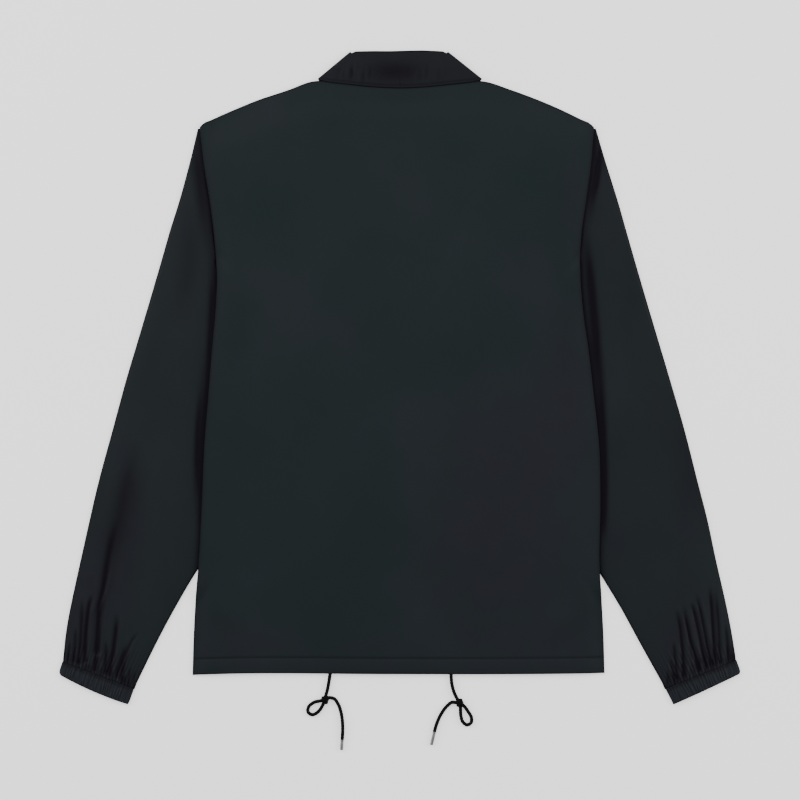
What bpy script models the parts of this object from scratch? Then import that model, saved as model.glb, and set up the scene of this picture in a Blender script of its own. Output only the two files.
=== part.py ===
"""A coach jacket laid flat with its back up and its collar towards +Y.

The floor is z = 0 and the wearer's left is at -X. Every size and table is in millimetres, and
the two functions that fill a mesh or a curve turn them into metres. X and Y are 0 at the middle
of the jacket's width and length. The fronts, the collar's wings, the lower walls of the sleeves
and the cuffs lie on the floor, and the back lies on them.
"""
import math

import bmesh
import bpy
import numpy as np
from mathutils import Vector

MM = 0.001

# Cloth
WALL = 1.2
LAY = 0.4
SEAM = 0.4
LAYER = WALL + LAY
CUFF_WALL = 1.6

# The back rides on what lies under it, this much above the floor where the jacket is fullest
BACK_RISE = 3.4
EDGE_ROLL = 22.0
CASING_DEPTH = 18.5
STITCH_DIP = 0.5

# Hem and side seams
HEM_Y = -347.5
SHOULDER_Y = 292.0
# Columns: y, left x, right x
SIDE = (
    (-347.5, -244.5, 241.5),
    (-298.0, -243.0, 240.0),
    (-262.0, -241.0, 238.0),
    (-222.0, -237.5, 236.5),
    (-150.0, -233.5, 236.5),
    (-81.0, -230.5, 235.0),
    (-24.0, -226.0, 229.0),
    (32.0, -221.5, 222.5),
    (75.0, -217.5, 216.5),
    (117.0, -215.5, 213.0),
    (160.0, -218.5, 213.5),
    (202.0, -223.5, 219.0),
    (245.0, -230.5, 225.0),
    (292.0, -236.0, 229.0),
)

# Shoulder slopes and the back of the neck, from one shoulder point to the other
# Columns: x, y
BACK_TOP = (
    (-236.0, 294.8),
    (-233.5, 297.8),
    (-222.5, 303.6),
    (-196.0, 315.5),
    (-166.5, 327.5),
    (-130.0, 339.5),
    (-103.5, 349.0),
    (-90.0, 350.0),
    (-60.0, 348.2),
    (0.0, 345.8),
    (60.0, 348.2),
    (88.0, 350.0),
    (100.0, 349.0),
    (130.0, 339.5),
    (163.0, 327.5),
    (191.0, 315.5),
    (214.5, 304.0),
    (225.0, 298.8),
    (229.0, 294.8),
)

# The neck of a front, measured from the middle, down from the shoulder seam
# Columns: from middle, y
FRONT_NECK = (
    (-18.0, 300.0),
    (20.0, 301.5),
    (48.0, 308.0),
    (74.0, 322.0),
    (87.0, 337.0),
    (91.0, 349.0),
)
NECK_POINT_X = 91.5

# Columns: x, y
HEM = (
    (-245.0, -350.9),
    (-236.0, -350.4),
    (-188.0, -348.9),
    (-141.0, -348.6),
    (-94.0, -348.9),
    (-47.0, -349.4),
    (40.0, -349.7),
    (95.0, -349.8),
    (142.0, -349.6),
    (190.0, -349.2),
    (242.0, -348.4),
)

# Rows of the body's panels, up from the hem at the side seam, and columns in from the side
BODY_ROWS = (0, 2, 16, 18.5, 21, 58, 88, 108, 130, 175, 240, 310, 380, 430, 462, 480, 500, 545,
             595, 625, 639.5)
BACK_COLUMNS = (0, 2, 7, 16, 34, 62, 100, 134, 152, 190, 240)
FRONT_COLUMNS = (0, 3, 14, 30, 45, 60, 82, 112, 146, 153, 172, 205, 222, 236, 256)
FULL_HALF = 240.0
PLACKET_LAP = 18.0

# Where the inner edge of each sleeve runs under the body, and past its two ends
# Columns: y, left x, right x
UNDER = (
    (-288.0, -300.0, 300.0),
    (-232.0, -236.0, 236.0),
    (-192.0, -212.0, 212.0),
    (-148.0, -191.0, 189.0),
    (-82.0, -176.0, 175.0),
    (-17.0, -175.0, 174.0),
    (35.0, -185.0, 183.0),
    (87.0, -202.0, 201.0),
    (118.0, -214.0, 212.0),
    (165.0, -290.0, 288.0),
)
UNDER_MARGIN = 14.0
UNDER_RAMP = 26.0

# Each row is one section of a sleeve, from its outer fold to its inner edge, and how much of it
# shows beside the body. The sleeve is open to the body above the underarm.
# Columns: outer x, outer y, inner x, inner y, shown
LEFT_SLEEVE = (
    (-238.9, 288.5, -235.6, 288.5, 3.3),
    (-247.0, 257.0, -232.0, 257.0, 15.0),
    (-260.0, 209.0, -224.8, 209.0, 35.0),
    (-271.0, 174.0, -220.2, 174.0, 51.0),
    (-281.0, 139.0, -217.0, 139.0, 64.0),
    (-288.0, 115.0, -215.6, 113.0, 72.0),
    (-295.0, 91.0, -202.0, 87.0, 77.0),
    (-309.0, 44.0, -185.0, 35.0, 88.0),
    (-323.0, -3.0, -175.0, -17.0, 98.0),
    (-339.0, -62.0, -176.0, -82.0, 110.0),
    (-355.0, -121.0, -191.0, -148.0, 122.0),
    (-366.0, -168.0, -212.0, -192.0, 133.0),
    (-376.5, -215.0, -238.5, -227.0, 140.0),
    (-387.0, -263.0, -264.0, -270.0, 123.0),
    (-393.5, -298.0, -286.0, -311.0, 108.0),
    (-397.5, -334.0, -313.0, -366.0, 90.0),
)
RIGHT_SLEEVE = (
    (231.9, 288.5, 228.6, 288.5, 3.3),
    (242.0, 257.0, 226.4, 257.0, 15.6),
    (257.0, 209.0, 220.8, 209.0, 36.5),
    (267.0, 174.0, 215.4, 174.0, 52.0),
    (277.0, 139.0, 212.8, 139.0, 64.0),
    (284.0, 115.0, 213.2, 113.0, 71.0),
    (291.0, 91.0, 201.0, 87.0, 76.0),
    (305.0, 44.0, 183.0, 35.0, 84.0),
    (319.0, -3.0, 174.0, -17.0, 92.0),
    (336.0, -62.0, 175.0, -82.0, 102.0),
    (351.0, -121.0, 189.0, -148.0, 114.0),
    (363.0, -168.0, 212.0, -192.0, 127.0),
    (373.0, -215.0, 237.0, -229.0, 137.0),
    (384.0, -263.0, 263.0, -272.0, 121.0),
    (391.0, -298.0, 284.5, -313.0, 108.0),
    (396.5, -332.0, 312.5, -366.0, 90.0),
)
OPEN_SECTIONS = 6
TUCK = 5.5
TUCK_FROM_Y = 162.0
TUCK_RAMP = 24.0
SLEEVE_RISE = 1.5
FOLD_RADIUS = 2.2

# Creases in the upper wall of a sleeve: a line, its half width, and its depth (ridges below 0)
# Columns: from x, from y, to x, to y, half width, depth
LEFT_CREASES = (
    (-240.0, 205.0, -258.0, 80.0, 9.0, 0.7),
    (-306.0, -74.0, -345.0, -212.0, 13.0, 0.8),
    (-345.0, -212.0, -356.0, -300.0, 7.0, 0.9),
    (-326.0, -90.0, -366.0, -228.0, 12.0, -0.7),
    (-360.0, -250.0, -371.0, -330.0, 3.6, 1.3),
    (-382.0, -290.0, -383.0, -330.0, 3.0, 1.0),
    (-356.0, -262.0, -358.5, -340.0, 3.2, 1.4),
    (-333.0, -280.0, -342.0, -346.0, 4.0, 1.4),
    (-320.0, -306.0, -331.0, -350.0, 3.6, 1.2),
    (-366.0, -262.0, -377.0, -334.0, 3.0, -0.7),
    (-345.0, -290.0, -350.0, -344.0, 4.0, -0.8),
)
RIGHT_CREASES = (
    (234.0, 240.0, 228.0, 190.0, 5.0, 0.6),
    (226.0, 120.0, 241.0, 30.0, 7.0, 0.8),
    (243.0, 30.0, 246.0, -190.0, 8.0, 0.6),
    (325.0, -271.0, 334.0, -350.0, 3.6, 1.2),
    (335.0, -262.0, 352.0, -345.0, 3.2, 1.4),
    (345.0, -262.0, 360.5, -338.0, 3.0, 1.2),
    (350.0, -250.0, 367.0, -336.0, 3.0, 1.2),
    (365.0, -243.0, 374.0, -334.0, 3.0, 1.3),
    (376.0, -240.0, 384.0, -330.0, 3.4, 1.0),
    (318.0, -310.0, 324.0, -356.0, 3.2, 1.0),
    (339.0, -270.0, 343.0, -348.0, 3.0, -0.6),
)

# Cuffs: the stitched line above the elastic casing and the edge below it, three points across
# Columns: outer x, outer y, inner x, inner y
LEFT_CUFF = (
    (-398.0, -335.0, -313.4, -366.8),
    (-401.5, -346.2, -318.0, -379.9),
    (-400.4, -350.8, -320.6, -385.3),
)
RIGHT_CUFF = (
    (397.0, -333.0, 312.9, -366.8),
    (401.2, -344.9, 319.6, -379.6),
    (400.9, -349.1, 322.4, -385.5),
)
CUFF_RIBS = 20
RIB_HEIGHT = 0.45
CUFF_ROWS = 4

# Collar, from its front edge at the middle to the middle of the back. The roll is the upper
# edge where it folds over, and the edge is the free one.
# Columns: roll x, roll y, edge x, edge y
WING = (
    (-3.0, 330.0, -62.0, 263.0),
    (-17.0, 344.0, -72.0, 282.0),
    (-36.0, 363.0, -84.0, 314.0),
    (-51.0, 378.0, -91.5, 338.0),
)
COLLAR_SIDE = (-58.5, 384.2, -97.0, 352.2)
COLLAR_BACK = (
    (-52.0, 384.3, -84.0, 347.8),
    (-44.0, 384.5, -62.0, 345.4),
    (-30.0, 384.7, -40.0, 343.0),
    (-15.0, 384.6, -19.0, 341.5),
    (0.0, 384.7, 0.5, 340.9),
)
STAND_FRONT = (
    (-1.5, 321.5, -1.5, 302.2),
    (-20.5, 340.0, -20.0, 303.6),
    (-39.5, 359.0, -58.0, 315.0),
    (-54.0, 373.0, -82.5, 334.5),
)
STAND_SIDE = (-61.5, 381.7, -94.5, 354.4)
STAND_BACK = (
    (-50.0, 381.2, -80.0, 351.6),
    (-25.0, 381.4, -40.0, 349.0),
    (0.0, 381.6, 0.0, 347.6),
)
WING_Z = 0.6
FALL_Z = 5.8
STAND_FRONT_Z = 2.2
STAND_BACK_Z = 3.8
FALL_FOLD = 2.0
STAND_FOLD = 1.2
FALL_INSET = 2.6
STAND_INSET = 3.6
COLLAR_ROWS = (0.0, 0.06, 0.25, 0.5, 0.75, 0.93, 1.0)
STAND_ROWS = (0.0, 0.5, 1.0)
ROLL_CURL = 0.6
WING_LIFT_MARGIN = 24.0
WING_LIFT_RAMP = 20.0

# Snap fasteners under the placket, down from the neck
SNAP_TOP_Y = 280.0
SNAP_PITCH = 135.0
SNAP_COUNT = 5
SNAP_RADIUS = 7.5
SNAP_HIGH = 1.2
PLACKET_RAMP = 14.0
PLACKET_HALF = 21.0

# Drawcord: each end comes out of the hem, is tied in one loop, and ends in a metal tip
CORD_RADIUS = 1.75
CORD_STEP = 4.4
FLOOR_CORD_Z = 1.85
CORD_IN_HEM_Z = 3.05
LOOP_TOP_Z = 2.6
LEFT_LEAD = ((-82.0, -342.6), (-82.3, -350.0), (-83.4, -357.0), (-84.4, -363.0), (-85.6, -369.0),
             (-87.1, -374.0))
RIGHT_LEAD = ((60.2, -343.0), (60.4, -350.5), (61.2, -360.5), (63.9, -371.0), (67.8, -379.1))
LEFT_LOOP = ((-92.3, -380.9), (-101.0, -383.0), (-107.6, -388.6), (-108.4, -394.0),
             (-103.4, -397.6), (-97.8, -395.4), (-93.0, -390.0), (-90.3, -384.8))
RIGHT_LOOP = ((71.4, -389.5), (71.9, -398.2), (74.4, -406.2), (79.4, -409.6), (84.2, -406.6),
              (84.4, -401.0), (80.6, -394.0), (74.6, -386.3))
LEFT_TAIL = ((-83.9, -377.6), (-77.8, -378.6), (-72.6, -385.4), (-69.4, -394.6), (-67.8, -404.5),
             (-67.4, -416.0), (-68.0, -427.0))
RIGHT_TAIL = ((66.2, -383.3), (61.7, -382.9), (56.5, -386.6), (49.5, -395.5), (44.9, -404.5),
              (41.8, -413.6), (40.8, -417.6))
LEFT_KNOT = (-88.3, -379.4)
RIGHT_KNOT = (70.5, -383.8)
KNOT_HALF = (3.9, 5.2, 2.9)
LEFT_TIP = (-68.0, -427.5, -68.8, -439.3)
RIGHT_TIP = (40.7, -418.0, 37.2, -433.4)
TIP_RADIUS = 1.65
EYELET_OUTER = 4.5
EYELET_INNER = 2.4
EYELET_THICK = 0.8
EYELET_ABOVE_CORD = 0.5

NYLON = (0.0160, 0.0215, 0.0240, 1.0)
COLLAR_NYLON = (0.0123, 0.0137, 0.0176, 1.0)
CORD_BLACK = (0.0060, 0.0064, 0.0072, 1.0)
TIP_METAL = (0.42, 0.42, 0.42, 1.0)


def clear_scene():
    """Remove whatever the file holds."""
    for found in list(bpy.data.objects):
        bpy.data.objects.remove(found)


def finish(name, colour, roughness, metallic=0.0):
    """One Principled material for one piece."""
    material = bpy.data.materials.new(name)
    material.use_nodes = True
    shader = material.node_tree.nodes["Principled BSDF"]
    shader.inputs["Base Color"].default_value = colour
    shader.inputs["Roughness"].default_value = roughness
    shader.inputs["Metallic"].default_value = metallic
    return material


def place(name, mesh, material):
    """Link a mesh, already in metres, as a named object with outward faces."""
    model = bmesh.new()
    model.from_mesh(mesh)
    bmesh.ops.recalc_face_normals(model, faces=model.faces)
    if model.calc_volume(signed=True) < 0.0:
        bmesh.ops.reverse_faces(model, faces=model.faces)
    model.to_mesh(mesh)
    model.free()
    mesh.materials.append(material)
    mesh.shade_smooth()
    mesh.set_sharp_from_angle(angle=math.radians(40.0))
    made = bpy.data.objects.new(name, mesh)
    bpy.context.scene.collection.objects.link(made)
    return made


def ease(share):
    """Smooth step from 0 to 1."""
    held = np.clip(share, 0.0, 1.0)
    return held * held * (3.0 - 2.0 * held)


def curve_through(table, at, column):
    """Read one column of a table at the values of its first column, on a smooth curve."""
    rows = np.array(sorted(table), dtype=float)
    key, value = rows[:, 0], rows[:, column]
    slope = np.gradient(value, key)
    at = np.clip(at, key[0], key[-1])
    i = np.clip(np.searchsorted(key, at) - 1, 0, len(key) - 2)
    span = key[i + 1] - key[i]
    t = (at - key[i]) / span
    rise = value[i + 1] - value[i]
    bend = slope[i] * span * t * (1 - t) ** 2 - slope[i + 1] * span * t ** 2 * (1 - t)
    return value[i] + rise * ease(t) + bend


def close_wall(name, outer, inner, quads, material):
    """Make one closed wall from two matching skins of points and the quads of the outer one.

    Both skins are cut along the same diagonals, so a bent wall keeps its thickness.
    """
    used = sorted({corner for quad in quads for corner in quad})
    place_of = {corner: number for number, corner in enumerate(used)}
    quads = [tuple(place_of[corner] for corner in quad) for quad in quads]
    count = len(used)
    points = np.concatenate([outer[used], inner[used]]) * MM
    faces = [half for a, b, c, d in quads for half in ((a, b, c), (a, c, d))]
    faces += [(c + count, b + count, a + count) for a, b, c in faces]
    edges = {(quad[i], quad[(i + 1) % 4]) for quad in quads for i in range(4)}
    faces += [(b, a, a + count, b + count) for a, b in sorted(edges) if (b, a) not in edges]
    mesh = bpy.data.meshes.new(name)
    mesh.from_pydata(points.tolist(), [], faces)
    return place(name, mesh, material)


def grid_quads(index):
    """Quads of a grid of point numbers, rows by columns."""
    return [(int(index[r, c]), int(index[r, c + 1]), int(index[r + 1, c + 1]), int(index[r + 1, c]))
            for r in range(index.shape[0] - 1) for c in range(index.shape[1] - 1)]


def panel(name, x, y, low, material, raised=0.0):
    """A cloth panel that lies at the height low, one wall thick, with a softened edge."""
    high = low + WALL + raised
    rim = np.zeros_like(high)
    rim[0, :] = rim[-1, :] = rim[:, 0] = rim[:, -1] = 0.3
    outer = np.stack([x, y, high - rim], axis=-1).reshape(-1, 3)
    inner = np.stack([x, y, low], axis=-1).reshape(-1, 3)
    index = np.arange(x.size).reshape(x.shape)
    return close_wall(name, outer, inner, grid_quads(index), material)


def side_x(y, column):
    """The body's side edge at a height."""
    return curve_through(SIDE, y, column)


def sleeve_lift(x, y):
    """0 to 1: how far the body is lifted by the sleeve that runs under its edge."""
    left = curve_through(UNDER, y, 1) + UNDER_MARGIN + UNDER_RAMP - x
    right = x - curve_through(UNDER, y, 2) + UNDER_MARGIN + UNDER_RAMP
    return ease(np.maximum(left, right) / UNDER_RAMP)


def wing_lift(x, y):
    """0 to 1: how far the fronts are lifted by the collar's wings under them."""
    side = np.abs(x)
    tip_x, tip_y = -WING[0][2], WING[0][3]
    depth = np.full_like(side, 1e3)
    for far_x, far_y, turn in ((-COLLAR_SIDE[2], COLLAR_SIDE[3], -1.0), (-WING[0][0], WING[0][1], 1.0)):
        along = Vector((far_x - tip_x, far_y - tip_y)).normalized()
        depth = np.minimum(depth, turn * (along.x * (y - tip_y) - along.y * (side - tip_x)) * -1.0)
    return ease((depth + WING_LIFT_MARGIN + WING_LIFT_RAMP) / WING_LIFT_RAMP)


def placket_lift(x):
    """0 to 1: the strip down the middle that lies on the snap fasteners."""
    return ease((PLACKET_HALF + PLACKET_RAMP - np.abs(x)) / PLACKET_RAMP)


def body_grid(across, top_of):
    """Rows up from the hem and columns across: x and y of every point of a body panel.

    across gives each column as (share of the left edge, share of the right edge, fixed x).
    The rows stay level at the hem and bend up to the shoulder slope over the top third.
    """
    rows = np.array(BODY_ROWS, dtype=float)
    level = HEM_Y + rows
    left, right = side_x(level, 1), side_x(level, 2)
    from_left, from_right, fixed = (np.array(column) for column in zip(*across))
    x = np.outer(left, from_left) + np.outer(right, from_right) + fixed
    extra = top_of(x[-1]) - SHOULDER_Y
    bend = np.clip((rows - 440.0) / (BODY_ROWS[-1] - 440.0), 0.0, 1.0)
    flat_hem = np.clip(1.0 - rows / 200.0, 0.0, 1.0)
    hem = curve_through(HEM, x[0], 1) - HEM_Y
    y = level[:, None] + np.outer(bend, extra) + np.outer(flat_hem, hem)
    return x, y


def hem_line(x):
    """A shallow groove along the stitching of the hem casing."""
    rows = np.array(BODY_ROWS, dtype=float)
    groove = np.exp(-((rows - CASING_DEPTH) / 1.6) ** 2)
    return -STITCH_DIP * groove[:, None] * np.ones_like(x)


def front_low(x, y, lap):
    """Height of a front's underside: 0 on the floor, more over sleeve, wing and placket."""
    over = np.maximum(BACK_RISE * sleeve_lift(x, y), LAYER * wing_lift(x, y))
    return np.maximum(over, lap * placket_lift(x))


def back_low(x, y):
    """Height of the back's underside: it rides on the fronts and rolls down at its free edges."""
    lift = np.maximum(sleeve_lift(x, y), 0.5 * wing_lift(x, y))
    level = np.array(BODY_ROWS, dtype=float)[:, None]
    to_side = np.minimum(x - x[:, :1], x[:, -1:] - x)
    to_top = y[-1:, :] - y
    armhole = 0.5 * ease((level - 470.0) / 40.0) * ease((18.0 - to_side) / 8.0)
    side = ease(to_side / EDGE_ROLL)
    collar_side = 0.5 * ease((155.0 - np.abs(x)) / 25.0)
    top = np.maximum(ease(to_top / (2.0 * EDGE_ROLL)), collar_side)
    free = np.maximum(np.minimum(side, top), armhole)
    return LAYER + BACK_RISE * np.maximum(lift, free)


def make_back():
    """The back, one piece from shoulder to hem."""
    shares = [column / FULL_HALF for column in BACK_COLUMNS]
    across = [(1.0 - 0.5 * share, 0.5 * share, 0.0) for share in shares]
    across += [(0.5 * share, 1.0 - 0.5 * share, 0.0) for share in reversed(shares[:-1])]
    x, y = body_grid(across, lambda at: curve_through(BACK_TOP, at, 1))
    wave = 0.25 * np.sin(x / 61.0 + 0.8) * np.sin(y / 83.0 + 0.4)
    inside = np.clip(np.minimum(x - x[:, :1], x[:, -1:] - x) / 60.0, 0.0, 1.0)
    raised = wave * inside + hem_line(x)
    return panel("back", x, y, back_low(x, y), finish("back_nylon", NYLON, 0.52), raised)


def front_top(x):
    """Upper edge of a front: the shoulder slope, then the neck."""
    side = np.abs(x)
    neck = curve_through(FRONT_NECK, np.where(x * np.sign(x[0]) > 0, side, -side), 1)
    return np.where(side < NECK_POINT_X, neck, curve_through(BACK_TOP, x, 1))


def make_front(name, side, lap):
    """One front, from its side seam to its lapped edge past the middle."""
    edge = 1 if side < 0 else 2
    shares = [column / FRONT_COLUMNS[-1] for column in FRONT_COLUMNS]
    across = []
    for share in shares:
        keep = 1.0 - share
        fixed = -side * (PLACKET_LAP * share + SEAM * keep)
        across.append((keep, 0.0, fixed) if edge == 1 else (0.0, keep, fixed))
    x, y = body_grid(across, front_top)
    y[-1] -= SEAM
    y[0] += SEAM
    return panel(name, x, y, front_low(x, y, lap), finish(name + "_nylon", NYLON, 0.52))


def crease_field(x, y, creases):
    """Sum of soft troughs: each a bell across its line, growing over its first part."""
    depth = np.zeros_like(x)
    for from_x, from_y, to_x, to_y, half_width, amount in creases:
        run_x, run_y = to_x - from_x, to_y - from_y
        t = ((x - from_x) * run_x + (y - from_y) * run_y) / (run_x ** 2 + run_y ** 2)
        t = np.clip(t, 0.0, 1.0)
        away = np.hypot(x - from_x - t * run_x, y - from_y - t * run_y)
        depth -= amount * np.exp(-(away / half_width) ** 2) * ease(3.0 * t)
    return depth


def sections_at(table, count):
    """Read a table of sections at evenly spaced steps, as rows of its columns."""
    numbered = [(float(i),) + tuple(row) for i, row in enumerate(table)]
    at = np.array(count, dtype=float)
    return [curve_through(numbered, at, column) for column in range(1, len(numbered[0]))]


def flat_tube(name, ends, opening, wall, high, crown, counts, material):
    """A flattened tube through sections.

    ends holds the outer and inner end of each section in plan, opening the number of sections
    that are open at the inner side and how far their upper and lower walls reach. Each section
    is a lower wall on the floor, half an ellipse at the outer fold, an upper wall whose height
    crown gives, and half an ellipse at the inner fold that closes the ring.
    """
    outer_x, outer_y, inner_x, inner_y = ends
    open_rows, upper_reach, lower_reach = opening
    lower, upper = counts
    width = np.hypot(inner_x - outer_x, inner_y - outer_y)
    rows = len(width)
    radius = np.minimum(FOLD_RADIUS + wall - WALL, 0.45 * width + 0.2)
    bore = np.maximum(radius - wall, 0.5)
    middle, gap = high / 2.0, high / 2.0 - wall
    across, lift, across_in, lift_in = [], [], [], []

    def add(w, z, w_in, z_in):
        across.append(w)
        lift.append(z * np.ones(rows))
        across_in.append(w_in)
        lift_in.append(z_in * np.ones(rows))

    opened = np.arange(rows) < open_rows
    for step, angle in enumerate((0.0, -45.0, -90.0)):
        c, s = math.cos(math.radians(angle)), math.sin(math.radians(angle))
        flat = lower_reach + (radius - lower_reach) * step / (lower + 2)
        add(np.where(opened, flat, width - radius + radius * c),
            np.where(opened, 0.0, middle + middle * s),
            np.where(opened, flat, width - radius + bore * c),
            np.where(opened, wall, middle + gap * s))
    for step in range(1, lower):
        flat = lower_reach + (radius - lower_reach) * (step + 2) / (lower + 2)
        closed = width - radius + (2.0 * radius - width) * step / lower
        w = np.where(opened, flat, closed)
        add(w, 0.0, w, wall)
    for angle in (-90.0, -135.0, -180.0, -225.0, -270.0):
        c, s = math.cos(math.radians(angle)), math.sin(math.radians(angle))
        add(radius + radius * c, middle + middle * s, radius + bore * c, middle + gap * s)
    for step in range(1, upper + 1):
        flat = radius + (upper_reach - radius) * step / (upper + 2)
        closed = radius + (width - 2.0 * radius) * step / upper
        w = np.where(opened, flat, closed)
        top, inside = crown(w, width)
        add(w, top, w, inside)
    for step, angle in enumerate((45.0, 0.0)):
        c, s = math.cos(math.radians(angle)), math.sin(math.radians(angle))
        flat = radius + (upper_reach - radius) * (upper + 1 + step) / (upper + 2)
        add(np.where(opened, flat, width - radius + radius * c),
            np.where(opened, high, middle + middle * s),
            np.where(opened, flat, width - radius + bore * c),
            np.where(opened, high - wall, middle + gap * s))

    def to_points(w, z):
        w, z = np.stack(w, axis=1), np.stack(z, axis=1)
        share = w / width[:, None]
        x = outer_x[:, None] + share * (inner_x - outer_x)[:, None]
        y = outer_y[:, None] + share * (inner_y - outer_y)[:, None]
        return np.stack([x, y, z], axis=-1).reshape(-1, 3)

    index = np.arange(rows * len(across)).reshape(rows, len(across))
    index[~opened, -1] = index[~opened, 0]
    outer, inner = to_points(across, lift), to_points(across_in, lift_in)
    return close_wall(name, outer, inner, grid_quads(index), material)


def make_sleeve(name, table, creases):
    """A sleeve: open to the body down to the underarm, a flattened tube below it."""
    steps = (0, 0.5, 1, 2, 3, 4, 4.6, 5, 5.5, 6, 7, 8, 9, 10, 11, 12, 12.6, 13.2, 13.7, 14.2, 14.6, 15)
    ends = sections_at(table, steps)
    shown = ends.pop()
    width = np.hypot(ends[2] - ends[0], ends[3] - ends[1])
    open_rows = steps.index(OPEN_SECTIONS - 1) + 1
    tuck = TUCK * ease((ends[3] - TUCK_FROM_Y) / TUCK_RAMP)
    high = 2.0 * WALL + LAY

    def crown(w, _):
        share = w / shown
        x = ends[0] + w / width * (ends[2] - ends[0])
        y = ends[1] + w / width * (ends[3] - ends[1])
        swell = np.clip(1.0 - (2.0 * share - 1.0) ** 4, 0.0, 1.0) * ease(shown / 40.0)
        top = high + swell * np.maximum(SLEEVE_RISE + crease_field(x, y, creases), 0.0)
        return top, top - WALL

    opening = (open_rows, width + tuck - SEAM, width - SEAM)
    return flat_tube(name, ends, opening, WALL, high, crown, (4, 18), finish(name + "_nylon", NYLON, 0.5))


def make_cuff(name, table):
    """An elastic casing: a short flattened tube with raised ribs from edge to edge."""
    steps = [2.0 * row / (CUFF_ROWS - 1) for row in range(CUFF_ROWS)]
    ends = sections_at(table, steps)
    high = 2.0 * CUFF_WALL + LAY
    width = np.hypot(ends[2] - ends[0], ends[3] - ends[1])
    down = np.array([0.0, 1.0, 1.0, 0.3])

    def crown(w, _):
        swell = np.clip(1.0 - (2.0 * w / width - 1.0) ** 4, 0.0, 1.0)
        plain = high - CUFF_WALL + swell * 0.7
        rib = RIB_HEIGHT * (1.0 + np.cos(2.0 * math.pi * CUFF_RIBS * w / width)) * down
        return plain + CUFF_WALL + swell * rib, plain

    never_open = (0, width, width)
    return flat_tube(name, ends, never_open, CUFF_WALL, high, crown, (5, 2 * CUFF_RIBS),
                     finish(name + "_nylon", NYLON, 0.55))


def folded_band(name, front, fold, back, heights, shape, rows, material):
    """A band that runs round the neck: flat in front, over a fold at each side, flat behind.

    front, fold and back are plan points of its roll and its edge on the left half. heights are
    its middle heights in front and behind, and shape its fold radius, the fold's inset, and the
    share of its half height that is left at the roll.
    """
    front_z, back_z = heights
    fold_radius, inset, roll_share = shape
    centre, half = (front_z + back_z) / 2.0, (back_z - front_z) / 2.0
    run = Vector((fold[2] - fold[0], fold[3] - fold[1])).normalized()
    out = Vector((run.y, -run.x))
    columns = []
    for row in front:
        columns.append((row, (0.0, 0.0, -1.0), front_z))
    for angle in (-90.0, -50.0, 0.0, 50.0, 90.0):
        c, s = math.cos(math.radians(angle)), math.sin(math.radians(angle))
        shift = out * (fold_radius * c - inset)
        plan = (fold[0] + shift.x, fold[1] + shift.y, fold[2] + shift.x, fold[3] + shift.y)
        columns.append((plan, (out.x * c, out.y * c, s), centre + half * s))
    for row in back:
        columns.append((row, (0.0, 0.0, 1.0), back_z))
    mirrored = [((-p[0], p[1], -p[2], p[3]), (-n[0], n[1], n[2]), z)
                for p, n, z in reversed(columns[:-1])]
    columns += mirrored
    outer, inner = [], []
    for down in rows:
        curl = roll_share if down == 0.0 else 1.0
        for plan, normal, z in columns:
            x = plan[0] + down * (plan[2] - plan[0])
            y = plan[1] + down * (plan[3] - plan[1])
            level = centre + (z - centre) * curl
            thick = WALL / 2.0
            outer.append((x + thick * normal[0], y + thick * normal[1], level + thick * normal[2]))
            inner.append((x - thick * normal[0], y - thick * normal[1], level - thick * normal[2]))
    index = np.arange(len(outer)).reshape(len(rows), len(columns))
    return close_wall(name, np.array(outer), np.array(inner), grid_quads(index), material)


def make_collar():
    """The fall of the collar with its two wings."""
    return folded_band("collar", WING, COLLAR_SIDE, COLLAR_BACK, (WING_Z, FALL_Z),
                       (FALL_FOLD, FALL_INSET, ROLL_CURL), COLLAR_ROWS, finish("collar_nylon", COLLAR_NYLON, 0.45))


def make_stand():
    """The stand that the fall is sewn to, between the neck seam and the roll."""
    return folded_band("collar_stand", STAND_FRONT, STAND_SIDE, STAND_BACK,
                       (STAND_FRONT_Z, STAND_BACK_Z), (STAND_FOLD, STAND_INSET, 1.0), STAND_ROWS,
                       finish("collar_stand_nylon", COLLAR_NYLON, 0.5))


def turned(name, start, end, radii, material, segments=16):
    """A closed round solid between two points, with its radius given at even steps."""
    start, end = Vector(start), Vector(end)
    axis = (end - start).normalized()
    side = axis.orthogonal().normalized()
    other = axis.cross(side)
    points, faces = [], []
    for step, radius in enumerate(radii):
        centre = start.lerp(end, step / (len(radii) - 1))
        for k in range(segments):
            turn = 2.0 * math.pi * k / segments
            point = centre + radius * (math.cos(turn) * side + math.sin(turn) * other)
            points.append(point * MM)
    for step in range(len(radii) - 1):
        for k in range(segments):
            a, b = step * segments + k, step * segments + (k + 1) % segments
            faces.append((a, b, b + segments, a + segments))
    faces.append(tuple(reversed(range(segments))))
    faces.append(tuple(range(len(points) - segments, len(points))))
    mesh = bpy.data.meshes.new(name)
    mesh.from_pydata([tuple(point) for point in points], [], faces)
    return place(name, mesh, material)


def make_snaps():
    """Snap fasteners on the outer face of the lapped edge, which lies on them."""
    for number in range(SNAP_COUNT):
        y = SNAP_TOP_Y - number * SNAP_PITCH
        name = f"snap_{number + 1}"
        turned(name, (0.0, y, 0.1), (0.0, y, SNAP_HIGH), (SNAP_RADIUS - 0.8, SNAP_RADIUS, SNAP_RADIUS),
               finish(name + "_enamel", CORD_BLACK, 0.35), 20)


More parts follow.
